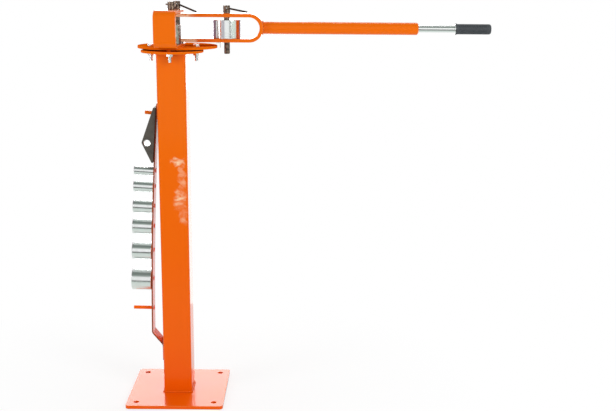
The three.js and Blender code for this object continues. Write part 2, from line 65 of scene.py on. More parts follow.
# Head
CENTRE_PIN = (9, 47)
FRAME_HEADING = math.radians(-96)
STRAP_WIDTH, NOSE_RADIUS, TAPER_REACH = 60, 22, 51
FRAME_REACH, FRAME_HEIGHT, FRAME_BEND, FRAME_THICKNESS = 151, 99, 20, 8
ARM_REACH, ARM_HEIGHT, ARM_BOTTOM, ARM_THICKNESS = 239, 78, 1014, 10
ARM_LEVEL = ARM_BOTTOM + ARM_HEIGHT / 2
ARM_END_CENTRE = ARM_REACH - ARM_HEIGHT / 2
FIXED_PIN_REACH, FOLLOWER_PIN_REACH = 66, 137
FIXED_PIN = (CENTRE_PIN[0] + FIXED_PIN_REACH * math.cos(FRAME_HEADING),
             CENTRE_PIN[1] + FIXED_PIN_REACH * math.sin(FRAME_HEADING))
FOLLOWER_PIN = (CENTRE_PIN[0] + FOLLOWER_PIN_REACH, CENTRE_PIN[1])
PIN_RADIUS, PIN_LENGTH, PIN_CHAMFER = 8, 111, 1.5
BORE_RADIUS = PIN_RADIUS + FIT
PIN_HEAD_RADIUS, PIN_HEAD_HEIGHT, LEVER_PIVOT, SLOT_FLOOR = 9.5, 21, 14, 7
LEVER_RADIUS, LEVER_LENGTH, EYE_RADIUS, SLOT_WIDTH = 2.5, 58.5, 5.5, 6
FIXED_LEVER_TURN = math.radians(97)
CROSS_PIN_RADIUS, CROSS_PIN_WALL, CROSS_PIN_FAR = 2, 0.8, 14.5
SLIT_WIDTH = 0.7
POINTER_THICKNESS, POINTER_BEND = 3.4, 2.8
HEAD_DIE_LENGTH, SPARE_DIE_LENGTH, DIE_CHAMFER, DIE_BORE_CHAMFER = 51, 56, 1.2, 0.7
FIXED_DIE, FOLLOWER_DIE = 50.8, 76.2
MARK_HEIGHT, MARK_HALF_DEPTH, MARK_SINK = 9, 0.8, 0.2

# Handle
TUBE_RADIUS, TUBE_BORE, TUBE_END, TUBE_CHAMFER = 16.85, 10.85, 666, 4
ROD_RADIUS, ROD_IN_TUBE, ROD_CHAMFER = 10, 220, 1
COLLAR_RADIUS, COLLAR_LENGTH, COLLAR_CHAMFER = 14.5, 2.5, 0.5
GRIP_START, GRIP_END, GRIP_RADIUS, GRIP_END_WALL, GRIP_END_ROUND = 769, 867, 14, 6, 6
LIP_RADIUS, LIP_LENGTH, LIP_EDGE = 15.5, 4, 2
GRIP_SIDES, GROOVE_EVERY, GROOVE_DEPTH = 144, 4, 0.5
ROD_END = GRIP_END - GRIP_END_WALL - FIT

# Rack
RACK_WIDTH, RACK_THICKNESS = 44, 4
RACK_TOP, RACK_BEND, RACK_LANDING, RACK_FOOT = 850, 186, 149, 102
RACK_STANDOFF, RACK_LEAN, RACK_CURL = 34, 0.01, 4
RACK_BOW = RACK_STANDOFF - RACK_THICKNESS - FIT - RACK_LEAN * (RACK_TOP - RACK_BEND)
# The height of each stored die's peg, and the die's diameter.
DIE_STATIONS = {659: 25.4, 614: 31.75, 557: 38.1, 499: 44.45, 428: 50.8, 344: 63.5}
MARKED_DIE, INCH = 63.5, 25.4
EMPTY_PEG, BLOCK_PEG = 255, 820
PEG_RADIUS, PEG_LENGTH, PEG_STICKOUT, PEG_CHAMFER = 5, 54, 2, 1
BLOCK_PEG_LENGTH = 33
HANG = 3.0  # a stored die's axis below its peg's axis
# The angle block's levels are above its peg's axis, and its depths out from the strap.
BLOCK_TOP, BLOCK_NOSE, BLOCK_TOE, BLOCK_THICKNESS = 18, -81, -136, 54
BLOCK_TOP_DEPTH, BLOCK_DEPTH, BLOCK_TOE_DEPTH, BLOCK_NOSE_RADIUS = 7, 34, 4, 8
BLOCK_BORE_OUT, BLOCK_BORE_RADIUS = 18.8, 8.7

# Camera
CAMERA_PLACE, CAMERA_DIP, CAMERA_ROLL = (374, -2800, 1201), 12.88, 0.42
LENS, SENSOR = 59.38, 36


# Making and placing

def mm(*sizes):
    """Millimetres as metres."""
    return tuple(size * MM for size in sizes)


def at(x, y, z, turn=0.0):
    """A place in millimetres, turned about +Z."""
    return Matrix.Translation(mm(x, y, z)) @ Matrix.Rotation(turn, 4, "Z")


# Quarter turns that lay +Z along another direction.
TO_X, TO_MINUS_X = (Matrix.Rotation(turn, 4, "Y") for turn in (math.pi / 2, -math.pi / 2))
TO_MINUS_Y, TO_Y = (Matrix.Rotation(turn, 4, "X") for turn in (math.pi / 2, -math.pi / 2))


def alone(piece):
    bpy.ops.object.select_all(action="DESELECT")
    piece.select_set(True)
    bpy.context.view_layer.objects.active = piece


def start(name, add, **settings):
    """Adds a primitive, alone selected, with its place in its mesh."""
    bpy.ops.object.select_all(action="DESELECT")
    add(**settings)
    piece = bpy.context.object
    piece.name = piece.data.name = name
    bpy.ops.object.transform_apply(location=True, rotation=True, scale=True)
    return piece


def block(name, low, high):
    low, high = Vector(low), Vector(high)
    return start(name, bpy.ops.mesh.primitive_cube_add, size=1, location=mm(*(low + high) / 2),
                 scale=mm(*(high - low)))


def round_bar(name, radius, bottom, top, sides=96, x=0, y=0):
    return start(name, bpy.ops.mesh.primitive_cylinder_add, vertices=sides,
                 radius=radius * MM, depth=(top - bottom) * MM,
                 location=mm(x, y, (top + bottom) / 2))


@contextmanager
def editing(piece, kind="VERT", action="DESELECT"):
    """Opens a piece in edit mode with nothing or everything selected."""
    alone(piece)
    bpy.ops.object.mode_set(mode="EDIT")
    bpy.ops.mesh.select_mode(type=kind)
    bpy.ops.mesh.select_all(action=action)
    yield
    bpy.ops.object.mode_set(mode="OBJECT")


def pick(kind, test):
    """Selects what passes a test of its middle, in millimetres, and its direction."""
    data = bpy.context.object.data
    mesh = bmesh.from_edit_mesh(data)
    mesh.normal_update()
    for part in getattr(mesh, kind):
        if kind == "verts":
            middle, direction = part.co, part.normal
        elif kind == "edges":
            first, last = part.verts
            middle, direction = (first.co + last.co) / 2, (last.co - first.co).normalized()
        else:
            middle, direction = part.calc_center_median(), part.normal
        part.select_set(bool(test(middle / MM, direction)))
    mesh.select_flush_mode()
    bmesh.update_edit_mesh(data)


def draw_out(by):
    """Extrudes what is selected, by a step in millimetres."""
    bpy.ops.mesh.extrude_region_move(TRANSFORM_OT_translate={"value": mm(*by)})


def tidy(merge=0.002):
    """Merges doubled points and turns the faces outwards."""
    bpy.ops.mesh.select_all(action="SELECT")
    bpy.ops.mesh.remove_doubles(threshold=merge * MM)
    bpy.ops.mesh.normals_make_consistent(inside=False)


def modify(piece, kind, **settings):
    alone(piece)
    modifier = piece.modifiers.new(kind, kind)
    for key, value in settings.items():
        setattr(modifier, key, value)
    bpy.ops.object.modifier_apply(modifier=modifier.name)
    return piece


def combine(piece, other, operation):
    modify(piece, "BOOLEAN", object=other, operation=operation, solver="EXACT")
    bpy.data.objects.remove(other)
    return piece


def cut(piece, cutter):
    return combine(piece, cutter, "DIFFERENCE")


def place(piece, matrix):
    alone(piece)
    piece.matrix_world = matrix
    bpy.ops.object.transform_apply(location=True, rotation=True, scale=True)
    return piece


def copied(pattern, name, matrix):
    """A copy of what is modelled at the origin, with its own mesh, at its own place."""
    twin = bpy.data.objects.new(name, pattern.data.copy())
    twin.data.name = name
    bpy.context.collection.objects.link(twin)
    return place(twin, matrix)


def smooth(piece, angle=SHARP_TURN):
    """Rounds the shading over shallow edges and keeps the flat faces flat."""
    alone(piece)
    bpy.ops.object.shade_smooth_by_angle(angle=math.radians(angle))
    return modify(piece, "WEIGHTED_NORMAL", keep_sharp=True)


def soften(piece, width):
    """Takes the sharpness off every sharp edge."""
    return modify(piece, "BEVEL", width=width * MM, segments=2, limit_method="ANGLE",
                  angle_limit=math.radians(SHARP_TURN))


# Outlines

def arc(middle, radius, first, last, steps):
    """Points round an arc, from one angle to another."""
    angles = [first + (last - first) * step / steps for step in range(steps + 1)]
    return [(middle[0] + radius * math.cos(angle), middle[1] + radius * math.sin(angle))
            for angle in angles]


def circle(radius, points):
    return arc((0, 0), radius, 0, 2 * math.pi, points)[:-1]


def bar_profile(radius, bottom, top, chamfer=0):
    """Half the section of a solid bar, with a chamfer round each end."""
    return list(dict.fromkeys([
        (0, bottom), (radius - chamfer, bottom), (radius, bottom + chamfer),
        (radius, top - chamfer), (radius - chamfer, top), (0, top)]))


def ring_profile(inside, radius, bottom, top, rim=0, chamfer=0):
    """Half the section of a ring, with a rim round its bore and a chamfer round its outside."""
    return list(dict.fromkeys([
        (inside, bottom + rim), (inside + rim, bottom), (radius - chamfer, bottom),
        (radius, bottom + chamfer), (radius, top - chamfer), (radius - chamfer, top),
        (inside + rim, top), (inside, top - rim)]))


def steps_along(points, closed=False):
    """The step from each point to the next, and back to the first on a closed line."""
    points = [Vector(point) for point in points]
    ends = points + points[:1] if closed else points
    return [after - before for before, after in zip(ends, ends[1:])]


def line(name, points, closed=False):
    """A chain of edges through points given in millimetres."""
    points = [Vector(mm(*point)) for point in points]
    piece = start(name, bpy.ops.mesh.primitive_plane_add, size=MM)
    with editing(piece, action="SELECT"):
        bpy.ops.mesh.merge(type="CENTER")
        bpy.ops.transform.translate(value=points[0])
        for step in steps_along(points, closed):
            bpy.ops.mesh.extrude_region_move(TRANSFORM_OT_translate={"value": step})
        if closed:
            bpy.ops.mesh.select_all(action="SELECT")
            bpy.ops.mesh.remove_doubles(threshold=MM ** 2)
    return piece


def turned(name, profile, sides=96, rounding=0.25):
    """A profile of (radius, height), its corners rounded, spun round +Z."""
    ring = profile[0][0] > 0
    piece = line(name, [(radius, 0, height) for radius, height in profile], closed=ring)
    with editing(piece):
        if rounding:
            pick("verts", lambda spot, way: spot.x > rounding)
            bpy.ops.mesh.bevel(offset=rounding * MM, segments=2, affect="VERTICES")
        bpy.ops.mesh.select_all(action="SELECT")
        bpy.ops.mesh.spin(steps=sides, angle=2 * math.pi, center=(0, 0, 0), axis=(0, 0, 1))
        tidy()
    return piece


def bore(radius, bottom, top, x=0, y=0, flare=0.6, sides=64):
    """A cutter for a round hole whose rims are countersunk by the flare."""
    beyond = flare + OVER
    profile = [(0, bottom - OVER), (radius + beyond, bottom - OVER), (radius, bottom + flare),
               (radius, top - flare), (radius + beyond, top + OVER), (0, top + OVER)]
    return place(turned("cutter", profile, sides, rounding=0), at(x, y, 0))


def prism(name, outline, along):
    """An outline of points, filled and drawn out along a direction, in millimetres."""
    piece = line(name, outline, closed=True)
    with editing(piece, action="SELECT"):
        bpy.ops.mesh.edge_face_add()
        draw_out(along)
        tidy()
    return piece


def bent_strap(name, reach, height, thickness, bend, steps):
    """A flat strap bent to a U that lies on its side, closed at +reach. Its legs taper to a
    round nose about the origin."""
    low_end = mm(-NOSE_RADIUS, 0, thickness / 2)
    straight = reach - bend + NOSE_RADIUS
    piece = start(name, bpy.ops.mesh.primitive_plane_add, size=1, rotation=(0, math.pi / 2, 0),
                  location=low_end)
    with editing(piece, "FACE", "SELECT"):
        bpy.ops.transform.resize(value=(1, STRAP_WIDTH * MM, thickness * MM),
                                 center_override=low_end)
        draw_out((straight, 0, 0))
        for level in (bend, height - bend):
            bpy.ops.mesh.spin(steps=steps, angle=math.pi / 2, axis=(0, 1, 0),
                              center=mm(reach - bend, 0, level))
            if level == bend and height > 2 * bend:
                draw_out((0, 0, height - 2 * bend))
        draw_out((-straight, 0, 0))
        tidy()
    half = STRAP_WIDTH / 2
    nose_end = math.atan2(half, TAPER_REACH) \
        + math.acos(NOSE_RADIUS / math.hypot(TAPER_REACH, half))
    far = reach + 10
    edge = half + math.tan(nose_end - math.pi / 2) * (far - TAPER_REACH)
    nose = arc((0, 0), NOSE_RADIUS, nose_end, 2 * math.pi - nose_end, 40)
    outline = [(x, y, -OVER) for x, y in [(far, edge), *nose, (far, -edge)]]
    combine(piece, prism("cutter", outline, (0, 0, height + 2 * OVER)), "INTERSECT")
    return soften(piece, 0.9)


def bead(name, path, radius, pitch=2.6, closed=True):
    """A weld bead of even ripples along a path."""
    rail = line("rail", path, closed)
    alone(rail)
    bpy.ops.object.convert(target="CURVE")
    length = sum(step.length for step in steps_along(path, closed))
    ripples = round(length / pitch)
    ripple = length / ripples
    piece = start(name, bpy.ops.mesh.primitive_cylinder_add, vertices=12, radius=radius * MM,
                  depth=ripple * MM, end_fill_type="NOTHING", location=mm(ripple / 2, 0, 0),
                  rotation=(0, math.pi / 2, 0))
    with editing(piece, "EDGE"):
        pick("edges", lambda spot, way: abs(way.x) > 0.9)
        bpy.ops.mesh.subdivide(number_cuts=3)
        for share, narrow in ((0, 0.84), (0.25, 0.95), (0.75, 0.98), (1, 0.84)):
            bpy.ops.mesh.select_mode(type="VERT")
            pick("verts", lambda spot, way: abs(spot.x - share * ripple) < 0.05 * ripple)
            bpy.ops.transform.resize(value=(1, narrow, narrow),
                                     center_override=mm(share * ripple, 0, 0))
    modify(piece, "ARRAY", count=ripples, use_relative_offset=False, use_constant_offset=True,
           constant_offset_displace=mm(ripple, 0, 0), use_merge_vertices=True,
           merge_threshold=0.02 * MM)
    modify(piece, "CURVE", object=rail, deform_axis="POS_X")
    bpy.data.objects.remove(rail)
    with editing(piece, action="SELECT"):
        if closed:
            bpy.ops.mesh.remove_doubles(threshold=0.1 * MM)
        else:
            bpy.ops.mesh.fill_holes(sides=0)
        tidy(0.01)
    modify(piece, "DISPLACE", texture=uneven, texture_coords="GLOBAL", strength=0.9 * MM,
           mid_level=0.5)
    alone(piece)
    bpy.ops.object.shade_smooth()
    return piece


uneven = bpy.data.textures.new("uneven bead", "CLOUDS")
uneven.noise_scale = 9 * MM


# Finishes

def linear(colour):
    """An sRGB hex colour as linear red, green, blue and alpha."""
    parts = [int(colour[i:i + 2], 16) / 255 for i in (1, 3, 5)]
    return [c / 12.92 if c <= 0.04045 else ((c + 0.055) / 1.055) ** 2.4 for c in parts] + [1]


def per(size):
    """The texture scale at which one noise cell is this many millimetres."""
    return 1 / (size * MM)


def join(made, links):
    """Sets a node's inputs: each to a value, a hex colour, a socket, or another node's first
    output in use."""
    for key, value in links.items():
        if isinstance(value, bpy.types.Node):
            value = next(output for output in value.outputs if output.enabled)
        if isinstance(value, bpy.types.NodeSocket):
            made.id_data.links.new(value, made.inputs[key])
        else:
            made.inputs[key].default_value = linear(value) if isinstance(value, str) else value


def node(tree, kind, links=None, **settings):
    """Adds a node with its settings, and with what each of its inputs takes."""
    made = tree.nodes.new("ShaderNode" + kind)
    for key, value in settings.items():
        setattr(made, key, value)
    join(made, links or {})
    return made


MIX_A, MIX_B = 6, 7  # the colour inputs of a mix node


def finish(name, slot, **sockets):
    """A material with even values on its shader, its tree, and the place its patterns read."""
    material = bpy.data.materials.new(name)
    material.use_nodes = True
    material["slot"] = slot
    tree = material.node_tree
    join(tree.nodes["Principled BSDF"], sockets)
    return material, tree, node(tree, "TexCoord").outputs["Object"]


def surface(tree, colour, rough, relief, strength, depth, **sockets):
    """Gives the shader its colour, its roughness and a relief of a depth in millimetres."""
    bump = node(tree, "Bump", {"Height": relief, "Strength": strength, "Distance": depth * MM})
    join(tree.nodes["Principled BSDF"],
         {"Base Color": colour, "Roughness": rough, "Normal": bump, **sockets})


def edge_share(tree, radius):
    """How near a point is to an edge, from 0 on a flat to 1 on the edge."""
    rounded = node(tree, "Bevel", {"Radius": radius * MM}, samples=6)
    flat = node(tree, "NewGeometry")
    agree = node(tree, "VectorMath", {0: rounded.outputs["Normal"], 1: flat.outputs["Normal"]},
                 operation="DOT_PRODUCT")
    return node(tree, "MapRange", {"Value": agree, "From Min": 0.98, "From Max": 0.8})


def scuff_and_glare_share(tree, spot, scuff_and_glare_boxes):
    """How far the film is rubbed off on the column, and how bright the painted highlight is on the
    arm, in ragged patches inside boxes given in millimetres.
    """
    streak_space = node(tree, "Mapping", {"Vector": spot, "Rotation": (0, math.radians(28), 0),
                                  "Scale": (1.0, 1.0, 1.7)})
    grit = node(tree, "TexNoise", {"Vector": streak_space, "Scale": per(30), "Detail": 5.0,
                                   "Roughness": 0.6, "Distortion": 1.2})
    ragged = node(tree, "MapRange", {"Value": grit, "From Min": 0.38, "From Max": 0.62,
                                     "To Min": 0.15})
    # Each point strays up to 15 mm before it is compared with the boxes, so no side is straight.
    stray = node(tree, "TexNoise", {"Vector": spot, "Scale": per(16), "Detail": 2.0})
    aside = node(tree, "VectorMath", {0: stray.outputs["Color"], 1: (0.5, 0.5, 0.5)},
                 operation="SUBTRACT")
    strayed = node(tree, "VectorMath", {0: aside, 1: mm(30, 0, 30), 2: spot},
                   operation="MULTIPLY_ADD")
    marks = 0.0
    for low, high, strength in scuff_and_glare_boxes:
        low, high = Vector(low), Vector(high)
        inside = node(tree, "Mapping", {"Vector": strayed, "Location": mm(*(low + high) / 2),
                                        "Scale": mm(*(high - low) / 2)}, vector_type="TEXTURE")
        away = node(tree, "VectorMath", {0: inside}, operation="ABSOLUTE")
        parts = node(tree, "SeparateXYZ", {0: away}).outputs
        side = node(tree, "Math", {0: parts["X"], 1: parts["Y"]}, operation="MAXIMUM")
        most = node(tree, "Math", {0: side, 1: parts["Z"]}, operation="MAXIMUM")
        patch = node(tree, "MapRange", {"Value": most, "From Min": 1.05, "From Max": 0.5,
                                        "To Max": strength})
        marks = node(tree, "Math", {0: marks, 1: patch}, operation="MAXIMUM")
    return node(tree, "Math", {0: marks, 1: ragged}, operation="MULTIPLY")


def powder_coat(name, scuff_and_glare_boxes=(), painted_edge_shade=False, **sockets):
    # Polyester powder, put on steel as a spray and baked: a thick glossy film with a soft orange
    # peel. It is painted yellower towards the top and redder lower down: painted light, for the
    # stronger light from above. It draws back pale from the edges, and the pale rim is also a
    # painted highlight: that rim is about 1 mm wide and is drawn at 2 mm. Deep in holes and gaps
    # it is painted brown: painted shade. The peel's waves are drawn at 4 mm.
    material, tree, spot = finish(name, "orange_powder_coat", **{
        "Metallic": 0, "IOR": 1.17, "Coat Weight": 1.0, "Coat Roughness": 0.1, "Coat IOR": 1.17,
        **sockets})
    drift = node(tree, "TexNoise", {"Vector": spot, "Scale": per(90), "Detail": 2.0})
    # Painted light: the colour turns yellower with height, for the stronger light from above. The
    # drift noise adds a random tone.
    height = node(tree, "SeparateXYZ", {0: spot}).outputs["Z"]
    painted_light_by_height = node(tree, "MapRange", {"Value": height, "From Max": 1.0, "To Min": -0.1,
                                      "To Max": 0.9})
    thin = node(tree, "Math", {0: drift, 1: 0.3, 2: painted_light_by_height}, operation="MULTIPLY_ADD")
    colour = node(tree, "Mix", {0: thin, MIX_A: "#F15E00", MIX_B: "#EF6D00"}, data_type="RGBA")
    # The pale rim on the edges: thin film there, and also a painted highlight.
    colour = node(tree, "Mix", {0: edge_share(tree, 2.0), MIX_A: colour, MIX_B: "#F2A06A"},
                  data_type="RGBA")
    # Painted shade on the faces that look along Y: the rack strap's narrow edges turn dull brown.
    if painted_edge_shade:
        facing = node(tree, "SeparateXYZ", {0: node(tree, "TexCoord").outputs["Normal"]})
        across = node(tree, "Math", {0: facing.outputs["Y"]}, operation="ABSOLUTE")
        painted_shade_face = node(tree, "MapRange", {"Value": across, "From Min": 0.6, "From Max": 0.9})
        colour = node(tree, "Mix", {0: painted_shade_face, MIX_A: colour, MIX_B: "#8E4626"}, data_type="RGBA")
    # Painted shade: dark brown where ambient occlusion finds holes, gaps and corners.
    painted_shade_occlusion = node(tree, "AmbientOcclusion", {"Distance": 12 * MM}, samples=8)
    depth = node(tree, "MapRange", {"Value": painted_shade_occlusion.outputs["AO"], "From Min": 0.46,
                                    "From Max": 0.16})
    colour = node(tree, "Mix", {0: depth, MIX_A: colour, MIX_B: "#6A2810"}, data_type="RGBA")
    dull = node(tree, "MapRange", {"Value": drift, "To Min": 0.24, "To Max": 0.36})
    if scuff_and_glare_boxes:
        # Pale patches: rubbed-off film on the column, a painted highlight on the arm.
        rubbed = scuff_and_glare_share(tree, spot, scuff_and_glare_boxes)
        colour = node(tree, "Mix", {0: rubbed, MIX_A: colour, MIX_B: "#FBCFA6"}, data_type="RGBA")
        dull = node(tree, "MapRange", {"Value": rubbed, "To Min": 0.3, "To Max": 0.7})
    peel = node(tree, "TexNoise", {"Vector": spot, "Scale": per(4), "Detail": 1.0})
    surface(tree, colour, dull, peel, 0.35, 0.06)
    return material


def zinc(name, matrix=Matrix(), drawn=False, painted_brown_shade=False):
    # Steel turned on a lathe, or drawn, then zinc plated and passivated: bright and a little
    # milky, with a faint green and mauve cast in soft patches and duller rings where the tool
    # fed faster. The tool marks go round the axis at about 0.4 mm and are drawn at 0.9 mm.
    material, tree, spot = finish(name, "zinc_plate", Metallic=1)
    own = node(tree, "Mapping", {"Vector": spot, "Location": matrix.to_translation(),
                                 "Rotation": matrix.to_euler()}, vector_type="TEXTURE")
    if drawn:
        along = node(tree, "Mapping", {"Vector": own, "Scale": (1, 1, 0.02)})
    else:
        parts = node(tree, "SeparateXYZ", {0: own}).outputs
        across = node(tree, "CombineXYZ", {0: parts["X"], 1: parts["Y"]})
        radius = node(tree, "VectorMath", {0: across}, operation="LENGTH")
        along = node(tree, "CombineXYZ", {0: radius, 1: parts["Z"]})
    marks = node(tree, "TexNoise", {"Vector": along, "Scale": per(0.9), "Detail": 2.0})
    bands = node(tree, "TexNoise", {"Vector": along, "Scale": per(9), "Detail": 1.0})
    milk = node(tree, "TexNoise", {"Vector": spot, "Scale": per(16), "Detail": 3.0})
    cast = node(tree, "Mix", {0: milk, MIX_A: "#F5F2F7", MIX_B: "#ECF6F1"}, data_type="RGBA")
    base = node(tree, "Mix", {0: bands, MIX_A: cast, MIX_B: "#E9ECE9"}, data_type="RGBA")
    if painted_brown_shade:
        # Brown blotches: painted shade, and a painted reflection of the orange frame round the die.
        spread = node(tree, "MapRange", {"Value": milk, "From Min": 0.35, "From Max": 0.6,
                                         "To Min": 0.35, "To Max": 0.9})
        base = node(tree, "Mix", {0: spread, MIX_A: base, MIX_B: "#7D6A55"}, data_type="RGBA")
    rough = node(tree, "MapRange", {"Value": bands, "To Min": 0.12, "To Max": 0.28})
    surface(tree, base, rough, marks, 0.3, 0.01)
    return material


def black_oxide(name, thick, thin):
    # Steel blackened in hot oxide and oiled: a thin dark brown-black skin over tool marks,
    # with brown where it is thin and bare steel showing through on the edges.
    material, tree, spot = finish(name, "black_oxide", Metallic=0.85)
    blotch = node(tree, "TexNoise", {"Vector": spot, "Scale": per(6), "Detail": 4.0,
                                     "Roughness": 0.65})
    fade = node(tree, "MapRange", {"Value": blotch, "From Min": 0.4, "From Max": 0.68})
    skin = node(tree, "Mix", {0: fade, MIX_A: thick, MIX_B: thin}, data_type="RGBA")
    worn = node(tree, "Math", {0: edge_share(tree, 0.7), 1: 0.5}, operation="MULTIPLY")
    edged = node(tree, "Mix", {0: worn, MIX_A: skin, MIX_B: "#A8A199"}, data_type="RGBA")
    rough = node(tree, "MapRange", {"Value": blotch, "To Min": 0.22, "To Max": 0.42})
    grain = node(tree, "TexNoise", {"Vector": spot, "Scale": per(1.5), "Detail": 3.0})
    surface(tree, edged, rough, grain, 0.4, 0.08)
    return material


def black_paint(name, bore_centre, bore_reach):
    # Brushed black enamel on rough sawn steel: satin, uneven, grey where it is rubbed and
    # chipped along the edges. The reamed bore is bare and mirrors what is behind it.
    material, tree, spot = finish(name, "black_paint", IOR=1.5)
    cloud = node(tree, "TexNoise", {"Vector": spot, "Scale": per(22), "Detail": 5.0,
                                    "Roughness": 0.6})
    film = node(tree, "Mix", {0: cloud, MIX_A: "#322E2C", MIX_B: "#5E594E"}, data_type="RGBA")
    chip = node(tree, "TexNoise", {"Vector": spot, "Scale": per(3), "Detail": 4.0})
    ragged = node(tree, "MapRange", {"Value": chip, "From Min": 0.5, "From Max": 0.6})
    bare = node(tree, "Math", {0: ragged, 1: edge_share(tree, 1.5)}, operation="MULTIPLY")
    edged = node(tree, "Mix", {0: bare, MIX_A: film, MIX_B: "#9A9A92"}, data_type="RGBA")
    rough = node(tree, "MapRange", {"Value": cloud, "To Min": 0.42, "To Max": 0.66})
    # The bore runs along Y, so its reach is measured with Y pressed flat.
    round_bore = node(tree, "Mapping", {"Vector": spot, "Location": bore_centre,
                                        "Scale": (1, 1000, 1)}, vector_type="TEXTURE")
    off_axis = node(tree, "VectorMath", {0: round_bore}, operation="LENGTH")
    reamed = node(tree, "Math", {0: off_axis, 1: bore_reach * MM}, operation="LESS_THAN")
    skin = node(tree, "Mix", {0: reamed, MIX_A: edged, MIX_B: "#E6E6E4"}, data_type="RGBA")
    gloss = node(tree, "Mix", {0: reamed, 2: rough, 3: 0.2}, data_type="FLOAT")
    surface(tree, skin, gloss, chip, 0.5, 0.2, Metallic=reamed)
    return material


def rubber(name):
    # Moulded rubber: dark blue-grey and matt, with a fine grain and a grey bloom in soft patches.
    material, tree, spot = finish(name, "grey_rubber", IOR=1.5)
    bloom = node(tree, "TexNoise", {"Vector": spot, "Scale": per(18), "Detail": 4.0})
    colour = node(tree, "Mix", {0: bloom, MIX_A: "#33383C", MIX_B: "#474C51"}, data_type="RGBA")
    rough = node(tree, "MapRange", {"Value": bloom, "To Min": 0.5, "To Max": 0.72})
    grain = node(tree, "TexNoise", {"Vector": spot, "Scale": per(0.8), "Detail": 2.0})
    surface(tree, colour, rough, grain, 0.4, 0.06)
    return material


orange = powder_coat("baked orange powder coat")
# The rack strap's narrow edges are painted dull brown: painted shade on the faces that look along
# Y.
edge_shaded_orange = powder_coat("orange powder coat with shaded edges", painted_edge_shade=True)
scuffed_orange = powder_coat("scuffed orange powder coat", scuff_and_glare_boxes=[
    ((-9, -42, 682), (35, -38, 702), 1.0),
    ((10, -42, 609), (34, -38, 684), 0.5),
    ((2, -42, 555), (36, -38, 612), 1.0),
    ((10, -42, 514), (35, -38, 560), 0.5),
])
# The table's face is rubbed dull by the work.
table_orange = powder_coat("rubbed orange powder coat", **{
    "Coat Weight": 0.0, "Specular IOR Level": 0.0})
# Pale patches on the front edges of the arm's straps by the pivot: a painted highlight.
glare_patched_orange = powder_coat("orange powder coat with painted glare", scuff_and_glare_boxes=[
    ((6, 13, 1011), (64, 30, 1027), 2.5),
    ((6, 13, 1079), (64, 30, 1095), 2.5),
])
upright_zinc = zinc("turned zinc-plated steel")
drawn_zinc = zinc("drawn zinc-plated steel", at(0, CENTRE_PIN[1], ARM_LEVEL) @ TO_X, drawn=True)
oxide = black_oxide("black-oxide steel", "#51453D", "#A08B78")
lever_oxide = black_oxide("thick black-oxide steel", "#2A2624", "#544A43")
grip_rubber = rubber("moulded grey rubber")


def hand_in(piece, material, body, *nodes):
    """Gives a finished piece its finish, its body and the nodes that it stands for."""
    piece.data.materials.clear()
    piece.data.materials.append(material)
    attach(piece, body)
    if nodes:
        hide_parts(*nodes)


# Pedestal

def make_base_plate():
    half = PLATE_WIDTH / 2
    plate = block("floor_plate", (-half, -half, 0), (half, half, PLATE_THICKNESS))
    with editing(plate, "EDGE"):
        pick("edges", lambda spot, way: abs(way.z) > 0.9)
        bpy.ops.mesh.bevel(offset=PLATE_CORNER * MM, segments=10, affect="EDGES")
    soften(plate, 0.8)
    for x in (-ANCHOR_REACH, ANCHOR_REACH):
        for y in (-ANCHOR_REACH, ANCHOR_REACH):
            cut(plate, bore(ANCHOR_RADIUS, 0, PLATE_THICKNESS, x, y))
    hand_in(smooth(plate), orange, "pedestal", "base_plate")


def make_column():
    half = COLUMN_WIDTH / 2
    column = block("square_column", (-half, -half, PLATE_THICKNESS), (half, half, COLUMN_TOP))
    with editing(column, "FACE"):
        pick("faces", lambda spot, way: abs(way.z) > 0.9)
        bpy.ops.mesh.delete(type="FACE")
        bpy.ops.mesh.select_mode(type="EDGE")
        pick("edges", lambda spot, way: abs(way.z) > 0.9)
        bpy.ops.mesh.bevel(offset=COLUMN_CORNER * MM, segments=8, affect="EDGES")
    modify(column, "SOLIDIFY", thickness=COLUMN_WALL * MM, offset=-1)
    hand_in(smooth(column), scuffed_orange, "pedestal", "column")


def make_round_plate(name, node_name, radius, bottom, top, centre, pad_height=0):
    """A round plate, with low pads under it round the bolt holes where a height is given."""
    plate = soften(round_bar(name, radius, bottom, top, 144, *centre), 1.0)
    for pin in (CENTRE_PIN, FIXED_PIN):
        cut(plate, bore(BORE_RADIUS, bottom, top, *pin))
    foot = bottom - pad_height
    for x, y, _ in BOLTS.values():
        if pad_height:
            pad = turned("pad", bar_profile(PAD_RADIUS, foot, bottom + 2), 48, rounding=0.4)
            combine(plate, place(pad, at(x, y, 0)), "UNION")
        cut(plate, bore(BOLT_RADIUS + FIT, foot, top, x, y))
    hand_in(smooth(plate), table_orange, "pedestal", node_name)


def hexagon(name, bottom, top, chamfers):
    """A hexagon whose corners are turned off at 30 degrees at the given ends."""
    corner = BOLT_FLATS / math.sqrt(3)
    piece = round_bar(name, corner, bottom, top, 6)
    flat = BOLT_FLATS / 2 * 0.96
    drop = (corner - flat) * math.tan(math.radians(30))
    beyond = corner + OVER
    profile = [(0, bottom), (flat, bottom), (corner, bottom + drop)] if "bottom" in chamfers \
        else [(0, bottom - OVER), (beyond, bottom - OVER)]
    profile += [(corner, top - drop), (flat, top), (0, top)] if "top" in chamfers \
        else [(beyond, top + OVER), (0, top + OVER)]
    return combine(piece, turned("cutter", profile, 96, rounding=0), "INTERSECT")


